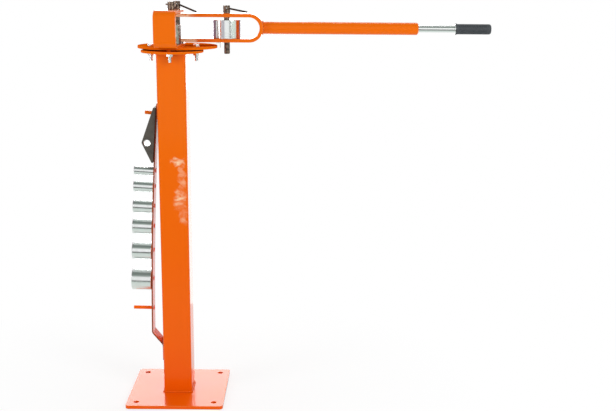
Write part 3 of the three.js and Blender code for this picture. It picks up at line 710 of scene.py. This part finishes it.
def threaded_bar(name, bottom, top):
    """A screw thread, cut off flat at both ends."""
    root, crest = BOLT_RADIUS - THREAD_DEPTH, BOLT_RADIUS
    profile = []
    for turn in range(math.ceil((top - bottom) / BOLT_PITCH) + 2):
        foot = bottom + (turn - 1.5) * BOLT_PITCH
        for radius, share in ((root, 0), (root, 0.2), (crest, 0.5), (crest, 0.68)):
            profile.append((radius, 0, foot + share * BOLT_PITCH))
    piece = line(name, profile)
    modify(piece, "SCREW", angle=2 * math.pi, steps=32, render_steps=32, iterations=1,
           screw_offset=BOLT_PITCH * MM, axis="Z")
    with editing(piece):
        tidy()
        for level, side in ((bottom, -1), (top, 1)):
            bpy.ops.mesh.select_all(action="SELECT")
            bpy.ops.mesh.bisect(plane_co=mm(0, 0, level), plane_no=(0, 0, side),
                                use_fill=True, clear_outer=True)
        tidy()
    return piece


def make_bolts():
    thread = threaded_bar("thread_pattern", BOLT_TIP, THREAD_TOP)
    nut_foot = COLUMN_TOP - NUT_HEIGHT
    nut = hexagon("nut_pattern", nut_foot, COLUMN_TOP, ("bottom", "top"))
    cut(nut, bore(BOLT_RADIUS + 0.05, nut_foot, COLUMN_TOP, flare=0.8))
    for side, (x, y, seat) in BOLTS.items():
        bolt = hexagon(f"hex_bolt_{side}", seat, seat + BOLT_HEAD, ("top",))
        shank = bar_profile(BOLT_RADIUS, THREAD_TOP - 0.5, seat + 2)
        combine(bolt, turned("shank", shank, 48, rounding=0), "UNION")
        combine(bolt, copied(thread, "thread", Matrix()), "UNION")
        hand_in(smooth(place(bolt, at(x, y, 0))), upright_zinc, "pedestal", f"flange_bolt_{side}")
        hand_in(smooth(copied(nut, f"hex_nut_{side}", at(x, y, 0))), upright_zinc, "pedestal",
                f"flange_nut_{side}")
    for pattern in (thread, nut):
        bpy.data.objects.remove(pattern)


def rounded_square(half, corner, level):
    """A square with rounded corners, seen from above, as points at one level."""
    centre = half - corner
    points = []
    for quarter in range(4):
        turn = quarter * math.pi / 2
        middle = Matrix.Rotation(turn, 2) @ Vector((centre, centre))
        points += arc(middle, corner, turn, turn + math.pi / 2, 6)
    return [(x, y, level) for x, y in points]


def make_column_welds():
    """A bead round each end of the column, sunk into the corner that it fills."""
    for name, radius, out, level in (("column_foot_weld", 2.9, 0.9, PLATE_THICKNESS + 1.2),
                                     ("column_top_weld", 3.0, 1.2, COLUMN_TOP - 1.2)):
        path = rounded_square(COLUMN_WIDTH / 2 + out, COLUMN_CORNER + out, level)
        hand_in(bead(name, path, radius), orange, "pedestal")


# Head

def bore_legs(strap, reaches, height, thickness):
    """Bores both legs of a bent strap for its pins."""
    for x in reaches:
        for bottom in (0, height - thickness):
            cut(strap, bore(BORE_RADIUS, bottom, bottom + thickness, x))


def make_u_frame():
    strap = bent_strap("u_frame_strap", FRAME_REACH, FRAME_HEIGHT, FRAME_THICKNESS,
                       FRAME_BEND, 10)
    bore_legs(strap, (0, FIXED_PIN_REACH), FRAME_HEIGHT, FRAME_THICKNESS)
    front = Vector(BOLTS["front"][:2]) - Vector(CENTRE_PIN)
    front = Matrix.Rotation(-FRAME_HEADING, 2) @ front
    cut(strap, bore(BOLT_RADIUS + FIT, 0, FRAME_THICKNESS, *front))
    place(strap, at(*CENTRE_PIN, TABLE_TOP, FRAME_HEADING))
    hand_in(smooth(strap), orange, "pedestal", "u_frame")


def make_arm():
    arm = bent_strap("lever_arm_strap", ARM_REACH, ARM_HEIGHT, ARM_THICKNESS, ARM_HEIGHT / 2, 20)
    bore_legs(arm, (0, FOLLOWER_PIN_REACH), ARM_HEIGHT, ARM_THICKNESS)
    place(arm, at(*CENTRE_PIN, ARM_BOTTOM))
    hand_in(smooth(arm), glare_patched_orange, "arm", "swing_arm")


def make_pointer():
    low, high = (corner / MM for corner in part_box("angle_pointer"))
    pointer = block("angle_pointer_bracket", (low.x, low.y, high.z - POINTER_THICKNESS), high)
    inner = high.x - POINTER_THICKNESS
    with editing(pointer, "FACE", "SELECT"):
        bpy.ops.mesh.bisect(plane_co=mm(inner, 0, 0), plane_no=(1, 0, 0))
        pick("faces", lambda spot, way: way.z < -0.9 and spot.x > inner)
        draw_out((0, 0, low.z - high.z + POINTER_THICKNESS))
        tidy()
        bpy.ops.mesh.select_mode(type="EDGE")
        pick("edges", lambda spot, way: abs(way.y) > 0.9 and spot.x > high.x - 0.1
             and spot.z > high.z - 0.1)
        bpy.ops.mesh.bevel(offset=POINTER_BEND * MM, segments=5, affect="EDGES")
    hand_in(smooth(soften(pointer, 0.4)), upright_zinc, "arm", "angle_pointer")


def make_spacer():
    low, high = (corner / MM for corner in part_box("arm_spacer"))
    section = ring_profile(BORE_RADIUS, (high.x - low.x) / 2, 0, high.z - low.z)
    spacer = turned("arm_spacer_ring", section, rounding=0.4)
    place(spacer, at((low.x + high.x) / 2, (low.y + high.y) / 2, low.z))
    hand_in(smooth(spacer), upright_zinc, "pedestal", "arm_spacer")


def model_pin():
    """A pin with its head's seat at the origin and the slot for its lever open to +X."""
    pin = turned("pin_pattern", [
        (0, -PIN_LENGTH), (PIN_RADIUS - PIN_CHAMFER, -PIN_LENGTH),
        (PIN_RADIUS, PIN_CHAMFER - PIN_LENGTH), (PIN_RADIUS, 0), (PIN_HEAD_RADIUS - 0.6, 0),
        (PIN_HEAD_RADIUS, 0.6), (PIN_HEAD_RADIUS, PIN_HEAD_HEIGHT - 0.8),
        (PIN_HEAD_RADIUS - 0.8, PIN_HEAD_HEIGHT), (0, PIN_HEAD_HEIGHT)], 72)
    cut(pin, block("cutter", (-EYE_RADIUS - FIT, -SLOT_WIDTH / 2, SLOT_FLOOR),
                   (PIN_HEAD_RADIUS + OVER, SLOT_WIDTH / 2, PIN_HEAD_HEIGHT + OVER)))
    across = bore(CROSS_PIN_RADIUS + FIT, -PIN_HEAD_RADIUS, PIN_HEAD_RADIUS, flare=0.3, sides=32)
    return cut(pin, place(across, at(0, 0, LEVER_PIVOT) @ TO_MINUS_Y))


def model_cross_pin():
    """A rolled and slit pin, tapered at both ends, across the head of a pin at the origin."""
    near, far, radius = -PIN_HEAD_RADIUS, CROSS_PIN_FAR, CROSS_PIN_RADIUS
    inside = radius - CROSS_PIN_WALL
    cross_pin = turned("cross_pin_pattern", [
        (inside, near), (radius - 0.3, near), (radius, near + 0.8), (radius, far - 0.8),
        (radius - 0.3, far), (inside, far)], 32, rounding=0.1)
    cut(cross_pin, block("cutter", (0, -SLIT_WIDTH / 2, near - OVER),
                         (radius + OVER, SLIT_WIDTH / 2, far + OVER)))
    return place(cross_pin, at(0, 0, LEVER_PIVOT) @ TO_Y)


def model_lever():
    """A round lever along +X, domed at its tip, with its eye round the origin."""
    eye_half = SLOT_WIDTH / 2 - FIT
    eye = turned("lever_pattern", ring_profile(CROSS_PIN_RADIUS + FIT, EYE_RADIUS, -eye_half,
                                               eye_half), 48, rounding=0.5)
    place(eye, TO_MINUS_Y)
    stem = turned("stem", [
        (0, EYE_RADIUS - 1.5), (LEVER_RADIUS, EYE_RADIUS - 1.5), (LEVER_RADIUS, LEVER_LENGTH - 2),
        (LEVER_RADIUS - 0.6, LEVER_LENGTH - 0.6), (LEVER_RADIUS - 1.8, LEVER_LENGTH),
        (0, LEVER_LENGTH)], 32, rounding=0.4)
    return combine(eye, place(stem, TO_X), "UNION")


def rest_angle(face_below):
    """The angle below level at which a lever's tip just clears a face that lies lower."""
    drop = face_below - FIT
    return math.asin(drop / math.hypot(LEVER_LENGTH, LEVER_RADIUS)) \
        - math.atan2(LEVER_RADIUS, LEVER_LENGTH)


def make_pins():
    seat, arm_top = TABLE_TOP + FRAME_HEIGHT, ARM_BOTTOM + ARM_HEIGHT
    on_seat = rest_angle(LEVER_PIVOT)
    on_arm = rest_angle(LEVER_PIVOT + seat - arm_top)
    pin, cross_pin, lever = model_pin(), model_cross_pin(), model_lever()
    for name, matrix, drop in (("centre", at(*CENTRE_PIN, seat), on_arm),
                               ("fixed", at(*FIXED_PIN, seat, FIXED_LEVER_TURN), on_seat),
                               ("follower", at(*FOLLOWER_PIN, arm_top), on_seat)):
        body = f"{name}_pin"
        hand_in(smooth(copied(pin, f"{name}_lever_pin", matrix)), oxide, body, body)
        hand_in(smooth(copied(cross_pin, f"{name}_roll_pin", matrix)), oxide, body,
                f"{name}_cross_pin")
        lying = matrix @ at(0, 0, LEVER_PIVOT) @ Matrix.Rotation(drop, 4, "Y")
        hand_in(smooth(copied(lever, f"{name}_folding_lever", lying)), lever_oxide,
                f"{name}_lever", f"{name}_lever")
    for pattern in (pin, cross_pin, lever):
        bpy.data.objects.remove(pattern)


def cut_size_mark(die, text, radius, length):
    """Cuts a size number into a die's side, on the side that faces the operator on the rack."""
    bpy.ops.object.select_all(action="DESELECT")
    bpy.ops.object.text_add()
    digits = bpy.context.object
    digits.data.body = text
    digits.data.size, digits.data.extrude = mm(MARK_HEIGHT, MARK_HALF_DEPTH)
    digits.data.align_x = digits.data.align_y = "CENTER"
    bpy.ops.object.convert(target="MESH")
    stand = Matrix(((0, -1, 0, 0), (0, 0, -1, 0), (1, 0, 0, 0), (0, 0, 0, 1)))
    cut(die, place(digits, at(0, MARK_SINK - radius, length / 2) @ stand))


def make_die(name, diameter, length, matrix, body, node_name, size_mark=None, painted_brown_shade=False):
    """A plain roller with a bore, chamfered at both ends, its axis along the matrix's +Z."""
    section = ring_profile(BORE_RADIUS, diameter / 2, 0, length, DIE_BORE_CHAMFER, DIE_CHAMFER)
    die = turned(name, section, 128, rounding=0.2)
    if size_mark:
        cut_size_mark(die, size_mark, diameter / 2, length)
    place(die, matrix)
    skin = zinc(f"turned zinc plate {diameter:g} mm die", matrix, painted_brown_shade=painted_brown_shade)
    hand_in(smooth(die), skin, body, node_name)


def make_head_dies():
    # The fixed die sits inside the frame: its brown blotches are painted shade and reflection.
    make_die("fixed_roller_die", FIXED_DIE, HEAD_DIE_LENGTH,
             at(*FIXED_PIN, TABLE_TOP + FRAME_THICKNESS), "fixed_roller", "fixed_die",
             painted_brown_shade=True)
    make_die("follower_roller_die", FOLLOWER_DIE, HEAD_DIE_LENGTH,
             at(*FOLLOWER_PIN, ARM_BOTTOM + ARM_THICKNESS), "follower_roller", "follower_die")


# Handle

OUTWARD = at(*CENTRE_PIN, ARM_LEVEL) @ TO_X  # +Z runs out along the handle


def make_handle_tube():
    tube = turned("handle_tube_pipe", [
        (TUBE_BORE, ARM_END_CENTRE), (TUBE_RADIUS, ARM_END_CENTRE),
        (TUBE_RADIUS, TUBE_END - TUBE_CHAMFER), (TUBE_RADIUS - TUBE_CHAMFER, TUBE_END),
        (TUBE_BORE, TUBE_END)], 72, rounding=0.4)
    place(tube, OUTWARD)
    saddle = round_bar("cutter", ARM_HEIGHT / 2 + FIT, -STRAP_WIDTH, STRAP_WIDTH, 160)
    cut(tube, place(saddle, at(CENTRE_PIN[0] + ARM_END_CENTRE, CENTRE_PIN[1], ARM_LEVEL)
                    @ TO_MINUS_Y))
    hand_in(smooth(tube), orange, "arm", "handle_tube")


def make_handle_weld():
    """A bead where the round tube meets the arm's round end."""
    joint = []
    for y, z in circle(TUBE_RADIUS + 0.3, 72):
        x = ARM_END_CENTRE + math.sqrt((ARM_HEIGHT / 2 + 0.8) ** 2 - z ** 2)
        joint.append((CENTRE_PIN[0] + x, CENTRE_PIN[1] + y, ARM_LEVEL + z))
    hand_in(bead("handle_tube_weld", joint, 1.9, pitch=2.0), orange, "arm")


def make_handle_rod():
    rod = turned("telescopic_rod",
                 bar_profile(ROD_RADIUS, TUBE_END - ROD_IN_TUBE, ROD_END, ROD_CHAMFER), 72)
    hand_in(smooth(place(rod, OUTWARD)), drawn_zinc, "handle", "handle_rod")


def make_collar():
    collar = turned("grip_collar_ring",
                    ring_profile(ROD_RADIUS + FIT, COLLAR_RADIUS, GRIP_START - COLLAR_LENGTH,
                                 GRIP_START, chamfer=COLLAR_CHAMFER), 72, rounding=0.2)
    hand_in(smooth(place(collar, OUTWARD)), drawn_zinc, "handle", "grip_collar")


def make_grip():
    """A sleeve with a lip, a round closed end and a groove in every few of its sides."""
    inside = ROD_RADIUS + FIT
    side_start = GRIP_START + LIP_LENGTH
    profile = [(0, ROD_END + FIT), (inside, ROD_END + FIT), (inside, GRIP_START),
               (LIP_RADIUS, GRIP_START), (LIP_RADIUS, GRIP_START + LIP_EDGE),
               (GRIP_RADIUS, side_start), (GRIP_RADIUS, side_start + 5),
               (GRIP_RADIUS, GRIP_END - 12),
               *arc((GRIP_RADIUS - GRIP_END_ROUND, GRIP_END - GRIP_END_ROUND), GRIP_END_ROUND,
                    0, math.pi / 2, 8),
               (0, GRIP_END)]
    grip = turned("ribbed_grip", profile, GRIP_SIDES, rounding=0)
    side = 360 / GRIP_SIDES
    with editing(grip, "FACE"):
        pick("faces", lambda spot, way: side_start + 4 < spot.z < GRIP_END - 10
             and spot.xy.length > GRIP_RADIUS - 0.5
             and round(math.degrees(math.atan2(spot.y, spot.x)) / side - 0.5) % GROOVE_EVERY == 0)
        bpy.ops.mesh.inset(thickness=0.1 * MM, depth=-GROOVE_DEPTH * MM)
        tidy(0.001)
    hand_in(smooth(place(grip, OUTWARD), 50), grip_rubber, "handle", "handle_grip")


# Rack

def standoff(height):
    """The rack strap's outer face from the column, at a height."""
    rise = height - RACK_BEND
    share = rise / (RACK_TOP - RACK_BEND)
    return RACK_STANDOFF - RACK_LEAN * rise - RACK_BOW * share ** 2


def station(height):
    """A place on the strap's outer face, with -X straight out from it."""
    run = RACK_LEAN + 2 * RACK_BOW * (height - RACK_BEND) / (RACK_TOP - RACK_BEND) ** 2
    return (at(-COLUMN_WIDTH / 2 - standoff(height), 0, height)
            @ Matrix.Rotation(math.atan(run), 4, "Y"))


def rack_path():
    """Points up the middle of the strap, out from the column and up, round its two bends."""
    middle = RACK_THICKNESS / 2
    landing, bend = Vector((middle, RACK_LANDING)), Vector((RACK_STANDOFF - middle, RACK_BEND))
    along = (bend - landing).normalized()
    upright, leaning = Vector((0, 1)), Vector((-RACK_LEAN, 1)).normalized()
    path = [Vector((middle, RACK_FOOT))]
    for corner, before, after in ((landing, upright, along), (bend, along, leaning)):
        first, last = corner - before * RACK_CURL, corner + after * RACK_CURL
        for step in range(6):
            share = step / 5
            path.append(first.lerp(corner, share).lerp(corner.lerp(last, share), share))
    bow_start = RACK_BEND + 6
    for step in range(1, 33):
        height = bow_start + (RACK_TOP - bow_start) * step / 32
        path.append(Vector((standoff(height) - middle, height)))
    return path


def make_rack_strap():
    points = [Vector((-COLUMN_WIDTH / 2 - out, 0, height)) for out, height in rack_path()]
    steps = steps_along(points)
    strap = start("bowed_rack_strap", bpy.ops.mesh.primitive_plane_add, size=1,
                  location=mm(*points[0]))
    with editing(strap, "FACE", "SELECT"):
        bpy.ops.transform.resize(value=(RACK_THICKNESS * MM, RACK_WIDTH * MM, 1),
                                 center_override=mm(*points[0]))
        lean = 0.0
        for here, step, following in zip(points[1:], steps, steps[1:] + steps[-1:]):
            draw_out(step)
            new_lean = sum(math.atan2(way.x, way.z) for way in (step, following)) / 2
            bpy.ops.transform.rotate(value=lean - new_lean, orient_axis="Y",
                                     center_override=mm(*here))
            lean = new_lean
        tidy()
    hand_in(smooth(soften(strap, 0.6)), edge_shaded_orange, "pedestal", "rack_strap")


def make_rack_welds():
    """Beads down both edges of the strap, at its foot and at its top."""
    x = -COLUMN_WIDTH / 2 - 1.3
    for end, low, high in (("foot", RACK_FOOT + 3, RACK_LANDING - 6),
                           ("top", RACK_TOP - 44, RACK_TOP - 4)):
        for side, y in (("front", -RACK_WIDTH / 2), ("back", RACK_WIDTH / 2)):
            path = [(x, y, low + (high - low) * step / 8) for step in range(9)]
            weld = bead(f"rack_{end}_weld_{side}", path, 2.4, closed=False)
            hand_in(weld, orange, "pedestal")


def model_peg(name, length, stickout):
    """A peg along +Z through the strap, whose outer face is at the origin."""
    return turned(name, bar_profile(PEG_RADIUS, -RACK_THICKNESS - stickout, length,
                                    PEG_CHAMFER), 48, rounding=0.3)


def make_pegs():
    peg = model_peg("peg_pattern", PEG_LENGTH, PEG_STICKOUT)
    ring = [(-0.4, y, z) for y, z in circle(PEG_RADIUS + 0.6, 20)]
    weld = bead("peg_weld_pattern", ring, 1.3, pitch=1.8)
    for i, height in enumerate([*DIE_STATIONS, EMPTY_PEG], 1):
        hand_in(smooth(copied(peg, f"rack_peg_{i}", station(height) @ TO_MINUS_X)), orange,
                "pedestal", f"die_peg_{i}")
        behind = station(height) @ at(RACK_THICKNESS + 0.4, 0, 0)
        hand_in(copied(weld, f"rack_peg_weld_{i}", behind), orange, "pedestal")
    for pattern in (peg, weld):
        bpy.data.objects.remove(pattern)
    block_peg = model_peg("angle_block_peg", BLOCK_PEG_LENGTH, 0)
    place(block_peg, station(BLOCK_PEG) @ TO_MINUS_X)
    hand_in(smooth(block_peg), orange, "pedestal", "block_peg")


def make_stored_dies():
    for i, (height, diameter) in enumerate(DIE_STATIONS.items(), 1):
        hung = station(height) @ at(-FIT, 0, -HANG) @ TO_MINUS_X
        make_die(f"spare_die_{i}", diameter, SPARE_DIE_LENGTH, hung, f"stored_die_{i}",
                 f"stored_die_{i}",
                 size_mark=f"{diameter / INCH:g}" if diameter == MARKED_DIE else None)


def make_angle_block():
    front = -BLOCK_THICKNESS / 2
    upper_slope = math.atan2(BLOCK_DEPTH - BLOCK_TOP_DEPTH, BLOCK_TOP - BLOCK_NOSE)
    lower_slope = math.atan2(BLOCK_DEPTH - BLOCK_TOE_DEPTH, BLOCK_NOSE - BLOCK_TOE)
    nose = arc((BLOCK_NOSE_RADIUS - BLOCK_DEPTH, BLOCK_NOSE), BLOCK_NOSE_RADIUS,
               math.pi - upper_slope, math.pi + lower_slope, 12)
    outline = [(0, BLOCK_TOE), (0, BLOCK_TOP), (-BLOCK_TOP_DEPTH, BLOCK_TOP), *nose,
               (-BLOCK_TOE_DEPTH, BLOCK_TOE)]
    wedge = prism("black_angle_block", [(x, front, z) for x, z in outline],
                  (0, BLOCK_THICKNESS, 0))
    soften(wedge, 0.9)
    bore_place = at(-BLOCK_BORE_OUT, 0, BLOCK_NOSE)
    across = bore(BLOCK_BORE_RADIUS, front, -front, flare=0.8)
    cut(wedge, place(across, bore_place @ TO_MINUS_Y))
    peg_hole = round_bar("cutter", PEG_RADIUS + FIT, -2 * BLOCK_DEPTH, 2 * BLOCK_DEPTH, 48)
    cut(wedge, place(peg_hole, TO_X))
    hung = station(BLOCK_PEG) @ at(-FIT, 0, 0)
    place(wedge, hung)
    black = black_paint("black enamel", (hung @ bore_place).to_translation(),
                        BLOCK_BORE_RADIUS + 0.5)
    hand_in(smooth(wedge), black, "angle_block", "angle_block")


# Studio

def make_camera():
    data = bpy.data.cameras.new("camera")
    data.lens, data.sensor_width = LENS, SENSOR
    camera = bpy.data.objects.new("camera", data)
    bpy.context.scene.collection.objects.link(camera)
    camera.location = mm(*CAMERA_PLACE)
    tilt = Matrix.Rotation(math.radians(90 - CAMERA_DIP), 3, "X")
    roll = Matrix.Rotation(math.radians(CAMERA_ROLL), 3, "Z")
    camera.rotation_euler = (tilt @ roll).to_euler()
    bpy.context.scene.camera = camera


def make_lamp(name, location, target, size, power):
    """A softbox: its place, aim and size are in metres and its power in watts."""
    data = bpy.data.lights.new(name, "AREA")
    data.shape, data.size, data.size_y, data.energy = "RECTANGLE", *size, power
    lamp = bpy.data.objects.new(name, data)
    bpy.context.scene.collection.objects.link(lamp)
    lamp.location = location
    lamp.rotation_euler = (Vector(target) - Vector(location)).to_track_quat("-Z", "Y").to_euler()


def fill_ramp(ramp, stops):
    """Spreads colours over a ramp, from the place of the first one to that of the last."""
    elements = ramp.color_ramp.elements
    elements.remove(elements[0])
    (first, colour), last = stops[0], stops[-1][0]
    elements[0].position, elements[0].color = 0, linear(colour)
    for spot, colour in stops[1:]:
        elements.new((spot - first) / (last - first)).color = linear(colour)


def make_floor():
    floor = start("floor", bpy.ops.mesh.primitive_plane_add, size=12, location=mm(0, 0, -0.6))
    material = bpy.data.materials.new("white paper floor")
    material.use_nodes = True
    tree = material.node_tree
    tree.nodes.clear()
    spot = node(tree, "TexCoord").outputs["Object"]
    ray = node(tree, "LightPath").outputs
    away = node(tree, "VectorMath", {0: spot}, operation="LENGTH")
    lift = node(tree, "MapRange", {"Value": away, "From Min": 0.25, "From Max": 0.9,
                                   "To Min": 0.72, "To Max": 1.0})
    seen = node(tree, "Math", {0: ray["Is Camera Ray"], 1: ray["Is Glossy Ray"]},
                operation="MAXIMUM")
    share = node(tree, "Math", {0: seen, 1: lift}, operation="MULTIPLY")
    # The paper ends in front of the plate: what mirrors it there shows the room's dim floor.
    # Under the object the paper is a little greener. Metres from front to back.
    near, far = -6.0, 1.0
    depth = node(tree, "SeparateXYZ", {0: spot}).outputs["Y"]
    reach = node(tree, "MapRange", {"Value": depth, "From Min": near, "From Max": far})
    front = node(tree, "ValToRGB", {0: reach})
    fill_ramp(front, [(near, "#FFFFFF"), (-5.2, "#FFFFFF"), (-4.2, "#545454"), (-1.5, "#545454"),
                      (-0.9, "#D6E0DA"), (0, "#DAE4DF"), (0.4, "#FFFFFF"), (far, "#FFFFFF")])
    glow = node(tree, "Mix", {0: ray["Is Glossy Ray"], MIX_A: "#FFFFFF", MIX_B: front},
                data_type="RGBA")
    paper = node(tree, "BsdfDiffuse", {"Color": "#FAFAFA"})
    white = node(tree, "Emission", {"Color": glow, "Strength": 1.0})
    mixed = node(tree, "MixShader", {0: share, 1: paper, 2: white})
    node(tree, "OutputMaterial", {"Surface": mixed})
    floor.data.materials.append(material)


def make_room():
    """White behind and round the object, with panels, gaps and a grey ceiling for bright metal."""
    world = bpy.data.worlds.new("studio")
    bpy.context.scene.world = world
    world.use_nodes = True
    tree = world.node_tree
    tree.nodes.clear()
    ray = node(tree, "LightPath").outputs
    way = node(tree, "SeparateXYZ", {0: node(tree, "TexCoord").outputs["Generated"]}).outputs
    forward = node(tree, "Math", {0: way["Y"], 1: -1.0}, operation="MULTIPLY")
    heading = node(tree, "Math", {0: way["X"], 1: forward}, operation="ARCTAN2")
    turn = node(tree, "MapRange", {"Value": heading, "From Min": -math.pi, "From Max": math.pi})
    walls = node(tree, "ValToRGB", {0: turn})
    rise = node(tree, "Math", {0: way["Z"], 1: forward}, operation="ARCTAN2")
    over = node(tree, "MapRange", {"Value": rise, "From Max": math.pi})
    ceiling = node(tree, "ValToRGB", {0: over})
    white, gap, lilac, grey, green = "#FFFFFF", "#5D565C", "#BDB8C1", "#8A918C", "#DCE8DE"
    mauve = "#86687A"
    # Degrees from the side that faces the operator, positive towards the lever.
    panels = [(-180, white), (-165, white), (-161, mauve), (-97, mauve), (-91, white),
              (-79, white), (-75, gap), (-56, gap), (-52, white), (-42, white), (-37, lilac),
              (-17, lilac), (-13, white), (23, white), (28, grey), (49, grey), (55, green),
              (95, green), (103, mauve), (150, mauve), (155, white), (180, white)]
    # Degrees up from the operator's side, over the top and down behind.
    arch = [(0, grey), (33, "#B5BDB8"), (50, "#88928D"), (57, "#77817C"), (78, "#77817C"),
            (95, "#9AA39E"), (115, white), (180, white)]
    fill_ramp(walls, panels)
    fill_ramp(ceiling, arch)
    low = node(tree, "MapRange", {"Value": way["Z"], "From Min": 0.6, "From Max": 0.53})
    room = node(tree, "Mix", {0: low, MIX_A: ceiling, MIX_B: walls}, data_type="RGBA")
    even = node(tree, "Mix", {0: ray["Is Glossy Ray"], MIX_A: "#C4C4C4", MIX_B: room},
                data_type="RGBA")
    shown = node(tree, "Math", {0: ray["Is Camera Ray"], 1: ray["Is Transmission Ray"]},
                 operation="MAXIMUM")
    colour = node(tree, "Mix", {0: shown, MIX_A: even, MIX_B: white}, data_type="RGBA")
    sky = node(tree, "Background", {"Color": colour, "Strength": 1.0})
    node(tree, "OutputWorld", {"Surface": sky})


def make_lamps():
    middle = (0.1, 0, 0.7)
    make_lamp("key softbox", (2.2, -2.0, 1.9), middle, (1.0, 1.6), 31)
    make_lamp("side softbox", (-2.3, -1.6, 1.3), middle, (1.0, 1.4), 22)
    make_lamp("back softbox", (-0.3, 2.3, 1.1), (0, 0, 0.6), (1.3, 1.0), 18)
    make_lamp("strip softbox", (0.155, 0.8, 0.43), (0.08, 0, 0.43), (0.1, 0.86), 0.21)
    make_lamp("top softbox", (0.3, 1.2, 2.6), (0.3, 0, 1.0), (1.3, 0.25), 8)


bpy.context.scene.view_settings.view_transform = "Standard"
make_camera()
make_floor()
make_room()
make_lamps()
make_base_plate()
make_column()
make_round_plate("column_flange_plate", "column_flange", FLANGE_RADIUS, COLUMN_TOP, FLANGE_TOP,
                 (0, 0))
make_round_plate("round_bending_table", "bending_table", TABLE_RADIUS, TABLE_BOTTOM, TABLE_TOP,
                 CENTRE_PIN, TABLE_BOTTOM - FLANGE_TOP)
make_bolts()
make_column_welds()
make_u_frame()
make_arm()
make_pointer()
make_spacer()
make_pins()
make_head_dies()
make_handle_tube()
make_handle_weld()
make_handle_rod()
make_collar()
make_grip()
make_rack_strap()
make_rack_welds()
make_pegs()
make_stored_dies()
make_angle_block()
